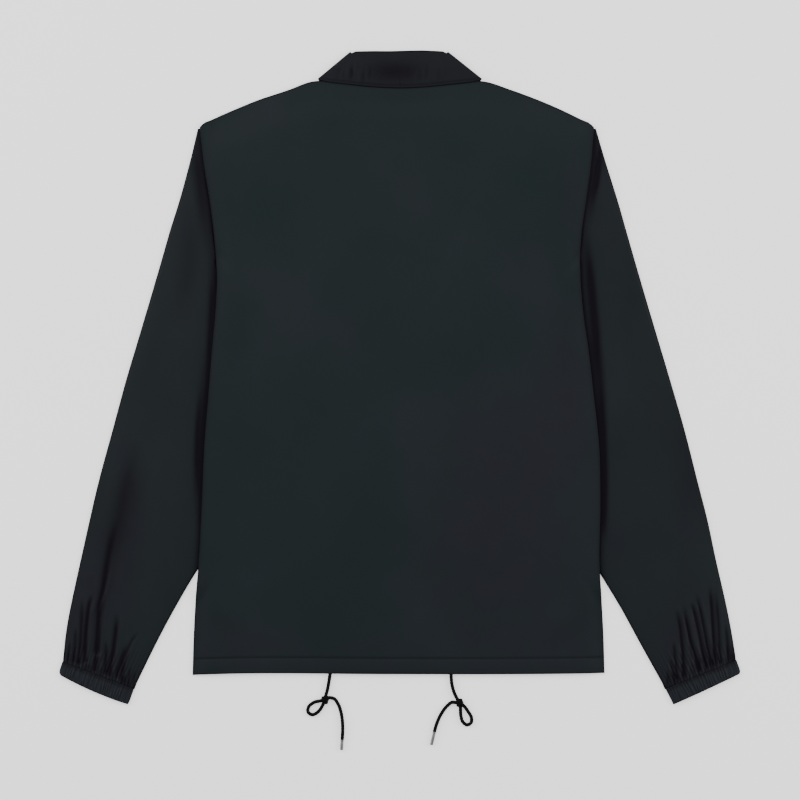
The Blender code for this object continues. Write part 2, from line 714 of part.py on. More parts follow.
def make_eyelet(name, lead):
    """A flat ring in the hem casing where the drawcord comes out of it."""
    x, y = lead[0][0], lead[0][1] + EYELET_OUTER + EYELET_ABOVE_CORD
    low = WALL + 0.3
    segments = 20
    rings = ((EYELET_OUTER, low), (EYELET_OUTER, low + EYELET_THICK), (EYELET_INNER, low + EYELET_THICK),
             (EYELET_INNER, low))
    points = [(x + r * math.cos(a), y + r * math.sin(a), z) for r, z in rings
              for a in (2.0 * math.pi * k / segments for k in range(segments))]
    faces = []
    for ring in range(4):
        for k in range(segments):
            a, b = ring * segments + k, ring * segments + (k + 1) % segments
            c, d = (b + segments) % len(points), (a + segments) % len(points)
            faces.append((a, b, c, d))
    mesh = bpy.data.meshes.new(name)
    mesh.from_pydata((np.array(points) * MM).tolist(), [], faces)
    return place(name, mesh, finish(name + "_metal", TIP_METAL, 0.4, 1.0))


def smooth_route(points):
    """Even points on a smooth curve through a route's own points."""
    points = np.array(points, dtype=float)
    gone = np.concatenate([[0.0], np.cumsum(np.linalg.norm(np.diff(points, axis=0), axis=1))])
    count = max(4, round(gone[-1] / CORD_STEP)) + 1
    at = np.linspace(0.0, gone[-1], count)
    table = [(s,) + tuple(point) for s, point in zip(gone, points)]
    return np.stack([curve_through(table, at, column) for column in (1, 2, 3)], axis=1)


def cord(name, points, material):
    """A round cord along a route."""
    route = smooth_route(points)
    curve = bpy.data.curves.new(name, "CURVE")
    curve.dimensions = "3D"
    curve.bevel_depth = CORD_RADIUS * MM
    curve.bevel_resolution = 2
    curve.use_fill_caps = True
    spline = curve.splines.new("POLY")
    spline.points.add(len(route) - 1)
    for point, place_at in zip(spline.points, route * MM):
        point.co = (*place_at, 1.0)
    curve.materials.append(material)
    made = bpy.data.objects.new(name, curve)
    bpy.context.scene.collection.objects.link(made)
    return made


def make_knot(name, centre):
    """A pulled-tight knot as one rounded, slightly lobed lump that rests on the floor."""
    model = bmesh.new()
    bmesh.ops.create_icosphere(model, subdivisions=2, radius=1.0)
    for vertex in model.verts:
        x, y, z = vertex.co
        lobe = 1.0 + 0.06 * math.sin(3.0 * math.atan2(y, x) + 2.5 * z)
        vertex.co = Vector((x * KNOT_HALF[0] * lobe + centre[0], y * KNOT_HALF[1] * lobe + centre[1],
                            z * KNOT_HALF[2] + KNOT_HALF[2] + 0.1)) * MM
    mesh = bpy.data.meshes.new(name)
    model.to_mesh(mesh)
    model.free()
    return place(name, mesh, finish(name + "_cord", CORD_BLACK, 0.8))


def make_drawcord(side, lead, knot, loop, tail, tip):
    """One end of the drawcord: lead, knot, loop, tail and tip."""
    drop = [CORD_IN_HEM_Z, CORD_IN_HEM_Z, 2.4] + [FLOOR_CORD_Z] * (len(lead) - 3)
    cord("cord_lead_" + side, [(x, y, z) for (x, y), z in zip(lead, drop)],
         finish("cord_lead_" + side, CORD_BLACK, 0.85))
    make_knot("cord_knot_" + side, knot)
    lifts = [LOOP_TOP_Z] + [FLOOR_CORD_Z] * (len(loop) - 2) + [LOOP_TOP_Z]
    cord("cord_loop_" + side, [(x, y, z) for (x, y), z in zip(loop, lifts)],
         finish("cord_loop_" + side, CORD_BLACK, 0.85))
    cord("cord_tail_" + side, [(x, y, FLOOR_CORD_Z) for x, y in tail],
         finish("cord_tail_" + side, CORD_BLACK, 0.85))
    turned("cord_tip_" + side, (tip[0], tip[1], FLOOR_CORD_Z), (tip[2], tip[3], FLOOR_CORD_Z),
           (TIP_RADIUS, TIP_RADIUS, TIP_RADIUS, TIP_RADIUS * 0.85),
           finish("cord_tip_" + side, TIP_METAL, 0.35, 1.0), 12)


def main():
    clear_scene()
    make_back()
    make_front("front_left", -1, LAYER)
    make_front("front_right", 1, 2.0 * LAYER)
    make_sleeve("sleeve_left", LEFT_SLEEVE, LEFT_CREASES)
    make_sleeve("sleeve_right", RIGHT_SLEEVE, RIGHT_CREASES)
    make_cuff("cuff_left", LEFT_CUFF)
    make_cuff("cuff_right", RIGHT_CUFF)
    make_collar()
    make_stand()
    make_snaps()
    make_eyelet("eyelet_left", LEFT_LEAD)
    make_eyelet("eyelet_right", RIGHT_LEAD)
    make_drawcord("left", LEFT_LEAD, LEFT_KNOT, LEFT_LOOP, LEFT_TAIL, LEFT_TIP)
    make_drawcord("right", RIGHT_LEAD, RIGHT_KNOT, RIGHT_LOOP, RIGHT_TAIL, RIGHT_TIP)


main()
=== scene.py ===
"""Looks of a nylon coach jacket that lies flat with its back up, seen from straight above.

Tables are in millimetres in the jacket's own frame: +X the wearer's right, +Y the collar, +Z up
from the floor. The functions that fill a mesh turn them into metres.
"""

import math

import bpy
import numpy as np
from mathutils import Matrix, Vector


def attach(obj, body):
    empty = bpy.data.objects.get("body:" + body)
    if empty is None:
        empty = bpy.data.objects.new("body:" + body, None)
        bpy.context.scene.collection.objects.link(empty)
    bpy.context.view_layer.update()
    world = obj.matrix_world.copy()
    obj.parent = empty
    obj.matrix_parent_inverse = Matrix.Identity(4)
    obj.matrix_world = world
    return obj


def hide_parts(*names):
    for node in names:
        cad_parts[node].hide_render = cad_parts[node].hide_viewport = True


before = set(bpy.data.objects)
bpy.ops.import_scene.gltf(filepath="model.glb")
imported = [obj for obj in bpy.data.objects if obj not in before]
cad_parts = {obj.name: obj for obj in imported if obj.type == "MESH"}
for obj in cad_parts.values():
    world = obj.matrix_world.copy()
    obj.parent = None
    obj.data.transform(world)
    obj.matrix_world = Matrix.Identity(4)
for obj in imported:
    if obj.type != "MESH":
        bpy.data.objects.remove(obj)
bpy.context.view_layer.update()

MM = 0.001
TURN = 2.0 * math.pi

# Cloth, as in the solids
WALL = 1.2
LAY = 0.4
SEAM = 0.4
LAYER = WALL + LAY
CUFF_WALL = 1.6
BACK_RISE = 3.4
EDGE_ROLL = 22.0
CASING_DEPTH = 18.5
HEM_Y = -347.5
SHOULDER_Y = 292.0
SIDE_LENGTH = 639.5
FULL_HALF = 240.0
PLACKET_LAP = 18.0
FRONT_SPAN = 256.0
NECK_POINT_X = 91.5
EDGE_ROUND = 1.0
BEND_FROM = 440.0
HEM_BEND_TO = 200.0
HEM_BAND = 27.0
PLACKET_STITCH_X = 15.0
# Close places from an edge inwards, and the even steps between
EDGE_STEPS = (0.0, 0.12, 0.35, 0.65, 1.0, 1.5, 2.2)
BACK_STEP = 3.9
FRONT_STEP = 6.0
FRONT_COLUMN = 3.6

# Columns: y, left x, right x
SIDE = (
    (-347.5, -244.5, 241.5), (-298, -243, 240), (-262, -241, 238), (-222, -237.5, 235.5),
    (-150, -233.5, 236.5), (-81, -230.5, 235), (-24, -226, 229), (32, -221.5, 222.5),
    (75, -217.5, 216.5), (117, -215.5, 213), (160, -218.5, 213.5), (202, -223.5, 219),
    (245, -230.5, 225), (292, -236, 229),
)
# Columns: x, y
BACK_TOP = (
    (-236, 294.8), (-233.5, 297.8), (-222.5, 303.6), (-196, 315.5), (-166.5, 327.5), (-130, 339.5),
    (-103.5, 349), (-90, 350), (-60, 348.2), (0, 345.8), (60, 348.2), (88, 350), (100, 349),
    (130, 339.5), (163, 327.5), (191, 315.5), (214.5, 304), (225, 298.8), (229, 294.8),
)
# Columns: from middle, y
FRONT_NECK = (
    (-18, 300), (20, 301.5), (48, 308), (74, 322), (87, 337), (91, 349),
)
# Columns: x, y
HEM = (
    (-245, -350.9), (-236, -350.4), (-188, -348.9), (-141, -348.6), (-94, -348.9), (-47, -349.4),
    (40, -349.7), (95, -349.8), (142, -349.6), (190, -349.2), (242, -348.4),
)
# Columns: y, left x, right x
UNDER = (
    (-288, -300, 300), (-232, -236, 236), (-192, -212, 212), (-148, -191, 189), (-82, -176, 175),
    (-17, -175, 174), (35, -185, 183), (87, -202, 201), (118, -214, 212), (165, -290, 288),
)
UNDER_MARGIN = 14.0
UNDER_RAMP = 26.0

# Columns: outer x, outer y, inner x, inner y, shown
LEFT_SLEEVE = (
    (-238.3, 293.4, -229.5, 293.4, 3.3), (-247, 257, -232, 257, 15), (-260, 209, -224.8, 209, 35),
    (-271, 174, -220.2, 174, 51), (-281, 139, -217, 139, 64), (-288, 115, -205.5, 113, 72),
    (-295, 91, -202, 87, 77), (-309, 44, -185, 35, 88), (-323, -3, -175, -17, 98),
    (-339, -62, -176, -82, 110), (-355, -121, -191, -148, 122), (-366, -168, -212, -192, 133),
    (-376.5, -215, -238.5, -227, 140), (-387, -263, -264, -270, 123), (-393.5, -298, -286, -311, 108),
    (-397.5, -334, -313, -366, 90),
)
RIGHT_SLEEVE = (
    (231.3, 293.4, 222.5, 293.4, 3.3), (242, 257, 226.4, 257, 15.6), (257, 209, 220.8, 209, 36.5),
    (267, 174, 215.4, 174, 52), (277, 139, 212.8, 139, 64), (284, 115, 204, 113, 71),
    (291, 91, 201, 87, 76), (305, 44, 183, 35, 84), (319, -3, 174, -17, 92), (336, -62, 175, -82, 102),
    (351, -121, 189, -148, 114), (363, -168, 212, -192, 127), (373, -215, 234.6, -229, 139),
    (384, -263, 260.6, -272, 123), (391, -298, 283, -313, 109), (396.5, -332, 312.5, -366, 90),
)
OPEN_SECTIONS = 6
OPEN_ROWS = 60
GATHERED_FROM = 13.0
GATHER_REACH = 24.0
INTO_CUFF = 1.6
# Columns of a flat tube: lower wall, upper wall, quarter of a fold
SLEEVE_COLUMNS = (24, 118, 5)
TUCK = 5.5
GATHER_Y = -303.0
TUCK_FROM_Y = 162.0
TUCK_RAMP = 24.0
SHORT_TUCK_Y = 124.0
SHORT_TUCK_RAMP = 22.0
SLEEVE_RISE = 1.5
FOLD_RADIUS = 2.2

# Creases of the sleeves, each through three points: a trough with a ridge on its outer side.
# Columns: from x, from y, via x, via y, to x, to y, half width, depth
LEFT_CREASES = (
    (-243, 284, -236, 225, -223, 130, 6, 1), (-246, 225, -248, 130, -262, 45, 12, 0.55),
    (-229, 40, -233, -70, -239, -190, 6, 1), (-234, -5, -239.5, -80, -239, -165, 3.2, 0.9),
    (-221, 150, -223, 60, -230, -30, 4, 0.8), (-262, 110, -292, 30, -300, -60, 14, 0.22),
    (-306, -62, -330, -162, -352.5, -300, 8.5, 0.8), (-302, -80, -321, -160, -340, -245, 13, 0.6),
    (-333, -165, -346, -225, -357.5, -322, 4.2, 0.95), (-332, -90, -353, -180, -368, -262, 9, -0.6),
    (-360.5, -255.5, -367.6, -278, -371.5, -334, 2.8, 1.3),
    (-374.7, -258, -375, -290, -378.5, -336, 2.5, 1.1),
    (-382, -292, -382.4, -310, -384, -335, 2.2, 0.9),
    (-355.8, -255.5, -355.8, -308, -359.8, -345, 2.6, 1.4),
    (-334, -274, -335.7, -310, -343.5, -350, 3.2, 1.4),
    (-320, -313, -327.6, -332, -332.8, -352, 2.8, 1.1),
    (-346.3, -308, -346.3, -328, -348, -348, 2.4, 1), (-325, -330, -327, -344, -326, -358, 2.2, 0.8),
    (-366, -262, -372, -300, -376.5, -334, 2.4, -0.5), (-389, -310, -389.5, -322, -391, -334, 2, 0.7),
    (-345, -212, -349, -250, -366, -290, 2.6, 0.8), (-306, -300, -318, -316, -326, -348, 2.2, 0.7),
    (-318, -340, -319, -352, -319.5, -362, 2, 0.7),
)
RIGHT_CREASES = (
    (237, 288, 233.5, 240, 221, 170, 4.2, 1), (230.5, 290, 227, 240, 219.5, 194, 1.7, 1.3),
    (233, 264, 229.8, 234, 224, 204, 1.1, 0.8), (227, 272, 224.5, 240, 219.5, 214, 1.1, 0.7),
    (236.5, 282, 236, 248, 231.5, 214, 1.5, 0.9), (219, 180, 229, 75, 241, -60, 5.2, 1.7),
    (236.5, 40, 240.5, -95, 241, -215, 4.5, 1.2), (262, 190, 272, 110, 268, 20, 10, 0.25),
    (320, 10, 345, -120, 352, -210, 22, 0.35), (325, -270.8, 331, -301.5, 335, -352, 2.8, 1.2),
    (334.5, -266, 340.4, -301.5, 352.5, -346, 2.7, 1.4),
    (342.8, -266, 348.7, -285, 360, -342, 2.5, 1.2), (348.7, -254, 355.8, -285, 366, -340, 2.5, 1.3),
    (365.2, -245, 367.6, -277, 371, -338, 2.6, 1.4), (371, -245, 374.7, -285, 377, -336, 2.4, 1.1),
    (382.9, -290, 385.3, -307, 387, -334, 2.2, 0.9), (322.7, -310, 323.9, -328, 327, -356, 2.3, 1),
    (317.5, -328, 320.4, -342, 322.7, -360, 2, 0.8), (339, -275, 344, -315, 345, -345, 2.2, -0.5),
    (392, -312, 392, -322, 393, -333, 2, 0.7),
)
# Drag lines in the fronts, which face the floor. Same columns.
FRONT_CREASES = (
    (-190, 250, -160, 150, -175, 60, 9, 0.6), (-120, 220, -105, 120, -112, 20, 7, 0.45),
    (-215, 90, -190, 30, -196, -60, 8, 0.6), (-60, -160, -90, -230, -84, -320, 7, 0.5),
    (-230, -230, -190, -270, -150, -285, 8, 0.5), (195, 240, 168, 160, 180, 70, 8, 0.6),
    (110, 230, 98, 140, 108, 60, 6, 0.5), (212, 80, 186, 10, 198, -90, 9, 0.6),
    (70, -120, 96, -210, 86, -300, 8, 0.45), (232, -210, 200, -262, 150, -292, 9, 0.5),
)
# Soft drag lines in the back. Same columns.
BACK_CREASES = (
    (-205, 130, -190, 60, -196, -20, 15, 0.35), (205, 120, 196, 40, 205, -60, 14, 0.3),
    (205, 262, 190, 200, 196, 150, 13, 0.3), (-222, 270, -205, 215, -204, 160, 14, 0.3),
    (-60, 334, 0, 329, 60, 334, 9, 0.35), (-238, -262, -205, -292, -170, -300, 12, 0.35),
    (236, -255, 214, -288, 180, -312, 12, 0.3),
)

# Painted purple sheen: where the cloth of the back, and of both sleeves, takes the purple of its sheen
# Columns: centre x, centre y, reach in x, reach in y, amount
BACK_TINTS = (
    (128, -85, 72, 84, 0.9), (112, -215, 84, 80, 1.1), (195, -20, 36, 95, 0.8),
    (160, -312, 90, 26, 0.5), (-190, -314, 58, 18, 0.8), (-60, -320, 60, 14, 0.3),
    (206, 210, 18, 60, 0.5), (-60, 60, 22, 40, 0.22), (150, 130, 40, 50, 0.25),
    (-237, -290, 10, 60, 0.6), (-222, 90, 8, 160, 0.4), (0, -341, 270, 9, 0.5),
)
SLEEVE_TINTS = (
    (-262, 160, 18, 110, 0.4), (-322, -160, 20, 85, 0.95), (-352, -175, 12, 60, 0.5),
    (-362, -262, 34, 60, 1), (-385, -300, 22, 60, 0.5), (-335, -345, 40, 30, 0.6),
    (250, 200, 16, 80, 0.5), (300, -30, 20, 120, 0.3), (338, -100, 16, 110, 0.6),
    (253, -199, 14, 35, 0.6), (345, -320, 50, 60, 0.95),
)

# Columns: outer x, outer y, inner x, inner y, bow
LEFT_CUFF = (
    (-398, -335, -313.4, -366.8, 0), (-401.5, -346.2, -318, -379.9, 1.6),
    (-400.4, -350.8, -320.6, -385.3, 2.4),
)
RIGHT_CUFF = (
    (397, -333, 312.9, -366.8, 0), (401.2, -344.9, 319.6, -379.6, 0.4),
    (400.9, -349.1, 322.4, -385.5, 0.6),
)
CUFF_RIBS = 24
RIB_HEIGHT = 0.55
CUFF_STITCH_SHARE = 0.12
CUFF_COLUMNS = (160, 8 * CUFF_RIBS, 5)

# Columns: roll x, roll y, edge x, edge y
WING = (
    (-3, 330, -62, 263), (-17, 344, -72, 282), (-36, 363, -84, 314), (-51, 378, -91.5, 338),
)
COLLAR_SIDE = (-58.5, 384.2, -97.0, 352.2)
COLLAR_BACK = (
    (-52, 384.3, -84, 347.8), (-44, 384.5, -62, 345.4), (-30, 384.7, -40, 343),
    (-15, 384.6, -19, 341.5), (0, 384.7, 0.5, 340.9),
)
STAND_FRONT = (
    (-1.5, 321.5, -1.5, 302.2), (-20.5, 340, -20, 303.6), (-39.5, 359, -58, 315),
    (-54, 373, -82.5, 334.5),
)
STAND_SIDE = (-61.5, 381.7, -94.5, 354.4)
STAND_BACK = (
    (-50, 381.2, -80, 351.6), (-25, 381.4, -40, 349), (0, 381.6, 0, 347.6),
)
WING_Z = 0.6
FALL_Z = 5.8
STAND_FRONT_Z = 2.2
STAND_BACK_Z = 3.8
FALL_FOLD = 2.0
STAND_FOLD = 1.2
FALL_INSET = 2.6
STAND_INSET = 3.6
ROLL_CURL = 0.6
WING_LIFT_MARGIN = 24.0
WING_LIFT_RAMP = 20.0
COLLAR_STITCH_IN = 3.2
FALL_DEPTH = 44.0
FALL_ROWS = 46
FALL_EXTRA_ROWS = 3
STITCHED_FROM = 56

PLACKET_RAMP = 14.0
PLACKET_HALF = 21.0
SNAP_TOP_Y = 280.0
SNAP_PITCH = 135.0
SNAP_COUNT = 5
# Columns: radius, height
SNAP_PROFILE = (
    (7.0, 1.2), (7.5, 1.0), (7.5, 0.6), (7.1, 0.2), (6.6, 0.1), (6.0, 0.1), (5.6, 0.25), (3.0, 0.16),
    (0.6, 0.14),
)

# Drawcord routes, as in the solids, with the way through the knot between lead, loop and tail
CORD_RADIUS = 2.2
WRAP_RADIUS = 1.9
KNOT_SPREAD = 2.9
KNOT_Z = 3.35
FLOOR_Z = 2.1
LEFT_ROUTE = (
    (-82, -342.6, 3.05), (-82.3, -350, 3.05), (-83.4, -357, 2.4), (-84.4, -363, 2.1),
    (-85.6, -369, 2.1), (-87.1, -374, 2.3), (-88.4, -379.4, 3), (-90.3, -384.8, 2.6), (-93, -390, 2.1),
    (-97.8, -395.4, 2.1), (-103.4, -397.6, 2.1), (-108.4, -394, 2.1), (-107.6, -388.6, 2.1),
    (-101, -383, 2.1), (-92.6, -380.9, 2.6), (-88.2, -379.2, 3.3), (-83.9, -377.6, 2.6),
    (-77.8, -378.6, 2.1), (-72.6, -385.4, 2.1), (-69.4, -394.6, 2.1), (-67.8, -404.5, 2.1),
    (-67.4, -416, 2.1), (-68, -427, 2.1),
)
RIGHT_ROUTE = (
    (60.2, -343, 3.05), (60.4, -350.5, 3.05), (61.2, -360.5, 2.2), (63.9, -371, 2.1),
    (67.8, -379.1, 2.4), (70.5, -383.8, 3), (71.4, -389.5, 2.6), (71.9, -398.2, 2.1),
    (74.4, -406.2, 2.1), (79.4, -409.6, 2.1), (84.2, -406.6, 2.1), (84.4, -401, 2.1), (80.6, -394, 2.1),
    (74.8, -386.5, 2.6), (70.6, -383.6, 3.3), (66, -383.2, 2.6), (61.7, -382.9, 2.1),
    (56.5, -386.6, 2.1), (49.5, -395.5, 2.1), (44.9, -404.5, 2.1), (41.8, -413.6, 2.1),
    (40.8, -417.6, 2.1),
)
# Columns: centre x, centre y, axis x, axis y
LEFT_KNOT = (-88.3, -379.4, -0.25, -0.97)
RIGHT_KNOT = (70.5, -383.8, 0.34, -0.94)
# Columns: start x, start y, end x, end y
LEFT_TIP = (-68.0, -427.3, -68.8, -439.3)
RIGHT_TIP = (40.8, -417.8, 37.2, -433.4)
TIP_RADIUS = 1.85

# Sewing: pitch, length and radius of the stitches
HEM_SEWING = (2.9, 2.3, 0.2)
CUFF_SEWING = (2.2, 1.7, 0.18)
COLLAR_SEWING = (2.6, 2.0, 0.18)

# The camera looks straight down, and its view is this wide
VIEW_WIDTH = 944.0
VIEW_CENTRE = (0.2, -26.5)
CAMERA_HEIGHT = 3.2
SENSOR = 36.0


def ease(share):
    """Smooth step from 0 to 1."""
    held = np.clip(share, 0.0, 1.0)
    return held * held * (3.0 - 2.0 * held)


def curve_through(table, at, column):
    """Read one column of a table at the values of its first column, on a smooth curve."""
    rows = np.array(sorted(table), dtype=float)
    key, value = rows[:, 0], rows[:, column]
    slope = np.gradient(value, key)
    at = np.clip(at, key[0], key[-1])
    i = np.clip(np.searchsorted(key, at) - 1, 0, len(key) - 2)
    span = key[i + 1] - key[i]
    t = (at - key[i]) / span
    rise = value[i + 1] - value[i]
    bend = slope[i] * span * t * (1 - t) ** 2 - slope[i + 1] * span * t ** 2 * (1 - t)
    return value[i] + rise * ease(t) + bend


def sections_at(table, at):
    """Read a table of sections at fractional row numbers, as arrays of its columns."""
    numbered = [(float(i),) + tuple(row) for i, row in enumerate(table)]
    return [curve_through(numbered, at, column) for column in range(1, len(numbered[0]))]


def ripple(x, y, waves):
    """Uneven waves: the sum of sines, each with its lengths along x and y, phase and height."""
    total = np.zeros(np.broadcast(x, y).shape)
    for length_x, length_y, phase, height in waves:
        total = total + height * np.sin(TURN * (x / length_x + y / length_y) + phase)
    return total


def crease_field(x, y, creases):
    """Each crease is a bell-shaped trough along a bent line, with half as high a ridge beside it.

    The line is the quadratic curve through the row's three points. The trough grows over its
    first part, and fades again where it ends above GATHER_Y. The ridge lies 1.7 half widths to
    its left. Returns the relief and the painted shade of the troughs.
    """
    depth = np.zeros_like(x)
    shade = np.zeros_like(x)
    for row in creases:
        points = np.array(row[:6]).reshape(3, 2)
        half_width, amount = row[6], row[7]
        t = np.linspace(0.0, 1.0, 25)[:, None]
        handle = 2.0 * points[1] - 0.5 * (points[0] + points[2])
        line = (1 - t) ** 2 * points[0] + 2 * t * (1 - t) * handle + t ** 2 * points[2]
        reach = 5.0 * half_width
        near = ((x > line[:, 0].min() - reach) & (x < line[:, 0].max() + reach)
                & (y > line[:, 1].min() - reach) & (y < line[:, 1].max() + reach))
        if not near.any():
            continue
        at = np.stack([x[near], y[near]], axis=-1)
        best = np.full(len(at), 1e9)
        side = np.zeros(len(at))
        along = np.zeros(len(at))
        for k in range(len(line) - 1):
            run = line[k + 1] - line[k]
            share = np.clip(((at - line[k]) @ run) / (run @ run), 0.0, 1.0)
            off = at - line[k] - share[:, None] * run
            away = np.hypot(off[:, 0], off[:, 1])
            closer = away < best
            best = np.where(closer, away, best)
            cross = run[0] * off[:, 1] - run[1] * off[:, 0]
            side = np.where(closer, np.sign(cross), side)
            along = np.where(closer, (k + share) / (len(line) - 1), along)
        signed = best * side / half_width
        strength = amount * ease(2.4 * along + 0.02)
        if row[5] > GATHER_Y:
            strength = strength * ease((1.0 - along) / 0.45)
        bell = -np.exp(-signed ** 2) + 0.5 * np.exp(-((signed - 1.7) / 1.1) ** 2)
        depth[near] += strength * bell
        # Painted shade: the colour darkens along the trough's line.
        softness = min(1.0, max(0.6, 4.5 / half_width))
        shade[near] += softness * np.maximum(strength, 0.0) * np.exp(-signed ** 2)
    return depth, shade


def small_gathers(section, above, seed):
    """Short uneven creases that run up from the cuff, as rows of a crease table."""
    rng = np.random.default_rng(seed)
    outer_x, outer_y, inner_x, inner_y = section[:4]
    rows = []
    for share in (np.arange(19) + rng.uniform(0.2, 0.8, 19)) / 19.0:
        foot_x = outer_x + share * (inner_x - outer_x)
        foot_y = outer_y + share * (inner_y - outer_y)
        high = rng.uniform(0.35, 1.0) * above
        lean = rng.uniform(-0.12, 0.12) * high
        rows.append((foot_x - 0.1 * np.sign(outer_x) * high + lean, foot_y + high,
                     foot_x + 0.6 * lean, foot_y + 0.5 * high, foot_x, foot_y - 1.0,
                     rng.uniform(1.2, 1.9), rng.uniform(0.3, 0.75)))
    return tuple(rows)


def link(name, mesh):
    """Put a finished mesh, already in metres, into the scene as an object at the origin."""
    made = bpy.data.objects.new(name, mesh)
    bpy.context.scene.collection.objects.link(made)
    return made


def mesh_of(name, points, faces, uv=None, shades=()):
    """A smooth-shaded mesh of points in millimetres and an array of faces of one size.

    shades are named values of its points: fold is painted shade, 1 deep in a crease, and tint is painted
    purple sheen, 1 where it is purple.
    """
    faces = np.asarray(faces)
    mesh = bpy.data.meshes.new(name)
    mesh.vertices.add(len(points))
    mesh.vertices.foreach_set("co", (np.asarray(points) * MM).astype(np.float32).ravel())
    mesh.loops.add(faces.size)
    mesh.loops.foreach_set("vertex_index", faces.astype(np.int32).ravel())
    mesh.polygons.add(len(faces))
    mesh.polygons.foreach_set("loop_start", np.arange(0, faces.size, faces.shape[1], dtype=np.int32))
    mesh.update(calc_edges=True)
    mesh.validate()
    if uv is not None:
        layer = mesh.uv_layers.new(name="cloth")
        picked = np.asarray(uv)[faces.ravel()] * MM
        layer.data.foreach_set("uv", picked.astype(np.float32).ravel())
    for label, values in shades:
        mesh.attributes.new(label, "FLOAT", "POINT").data.foreach_set("value", values.astype(np.float32))
    mesh.shade_smooth()
    return mesh


def point_numbers(grid):
    """The number of each place of a grid."""
    return np.arange(grid.size).reshape(grid.shape)


def close_wall(name, outer, inner, index, fold, tint):
    """A closed wall: an outer and an inner skin on the same grid, joined along every open edge.

    index holds each grid place's point number, so two columns with one number are welded.
    """
    quads = np.stack([index[:-1, :-1], index[:-1, 1:], index[1:, 1:], index[1:, :-1]], axis=-1)
    quads = quads.reshape(-1, 4)
    used, packed = np.unique(quads, return_inverse=True)
    quads = packed.reshape(-1, 4)
    count = len(used)
    points = np.concatenate([outer.reshape(-1, 3)[used], inner.reshape(-1, 3)[used]])
    start = quads.ravel()
    end = np.roll(quads, -1, axis=1).ravel()
    open_edge = ~np.isin(start * count + end, end * count + start)
    a, b = start[open_edge], end[open_edge]
    rim = np.stack([b, a, a + count, b + count], axis=-1)
    faces = np.concatenate([quads, quads[:, ::-1] + count, rim])
    step_x = np.linalg.norm(np.diff(outer, axis=1, prepend=outer[:, :1]), axis=-1).cumsum(axis=1)
    step_y = np.linalg.norm(np.diff(outer, axis=0, prepend=outer[:1]), axis=-1).cumsum(axis=0)
    uv = np.stack([step_x, step_y], axis=-1).reshape(-1, 2)[used]
    corners = points[faces]
    across = np.cross(corners[:, 2] - corners[:, 0], corners[:, 3] - corners[:, 1])
    if np.einsum("ij,ij->i", corners.mean(axis=1), across).sum() < 0.0:
        faces = faces[:, ::-1]
    # fold is painted shade and tint painted purple sheen, the same on both skins.
    fold, tint = (np.clip(v, 0.0, 1.0).ravel()[used] for v in (fold, tint))
    shades = (("fold", np.concatenate([fold, fold])), ("tint", np.concatenate([tint, tint])))
    return mesh_of(name, points, faces, np.concatenate([uv, uv]), shades)


def sleeve_lift(x, y):
    """0 to 1: how far the body is lifted by the sleeve that runs under its edge."""
    left = curve_through(UNDER, y, 1) + UNDER_MARGIN + UNDER_RAMP - x
    right = x - curve_through(UNDER, y, 2) + UNDER_MARGIN + UNDER_RAMP
    return ease(np.maximum(left, right) / UNDER_RAMP)


def wing_lift(x, y):
    """0 to 1: how far the fronts are lifted by the collar's wings under them."""
    side = np.abs(x)
    tip_x, tip_y = -WING[0][2], WING[0][3]
    depth = np.full_like(side, 1e3)
    for far_x, far_y, turn in ((-COLLAR_SIDE[2], COLLAR_SIDE[3], -1.0), (-WING[0][0], WING[0][1], 1.0)):
        along = Vector((far_x - tip_x, far_y - tip_y)).normalized()
        cross = along.x * (y - tip_y) - along.y * (side - tip_x)
        depth = np.minimum(depth, -turn * cross)
    return ease((depth + WING_LIFT_MARGIN + WING_LIFT_RAMP) / WING_LIFT_RAMP)


def placket_lift(x):
    """0 to 1: the strip down the middle that lies on the snap fasteners."""
    return ease((PLACKET_HALF + PLACKET_RAMP - np.abs(x)) / PLACKET_RAMP)


def fine_steps(length, edge, step, band=0.0, band_step=1.2):
    """Places from 0 to length: close together at both ends, then every step, or band_step in band."""
    near = np.array(EDGE_STEPS)
    start = near[-1] + band_step
    dense = np.arange(start, band, band_step)
    sparse = np.arange(max(start, band), length - edge, step)
    return np.concatenate([near, dense, sparse, length - near[::-1]])


def body_grid(rows, across, top_of):
    """x and y of a body panel's points, rows up from the hem and columns across.

    A column is a share of the left edge, a share of the right edge, and a fixed x. The rows are
    level at the hem and bend up to the shoulder slope over the top third.
    """
    level = HEM_Y + rows
    left, right = curve_through(SIDE, level, 1), curve_through(SIDE, level, 2)
    from_left, from_right, fixed = across
    x = np.outer(left, from_left) + np.outer(right, from_right) + fixed
    extra = top_of(x[-1]) - SHOULDER_Y
    bend = np.clip((rows - BEND_FROM) / (SIDE_LENGTH - BEND_FROM), 0.0, 1.0)
    flat_hem = np.clip(1.0 - rows / HEM_BEND_TO, 0.0, 1.0)
    hem = curve_through(HEM, x[0], 1) - HEM_Y
    y = level[:, None] + np.outer(bend, extra) + np.outer(flat_hem, hem)
    return x, y


def patches(x, y, rows):
    """Soft spots: a sum of bells, each with its centre, its reach in x and y, and its height."""
    total = np.zeros(np.broadcast(x, y).shape)
    for at_x, at_y, reach_x, reach_y, amount in rows:
        total = total + amount * np.exp(-((x - at_x) / reach_x) ** 2 - ((y - at_y) / reach_y) ** 2)
    return total


def painted_edge_shade(away):
    """Painted shade: the dark line along a turned edge, fading over about 1.5 mm."""
    return 0.75 * np.exp(-np.maximum(away, 0.0) / 1.5)


def edge_drop(away):
    """How far a rounded edge has sunk this far in from it: a quarter circle."""
    short = np.clip(EDGE_ROUND - away, 0.0, EDGE_ROUND)
    return EDGE_ROUND - np.sqrt(EDGE_ROUND ** 2 - short ** 2)


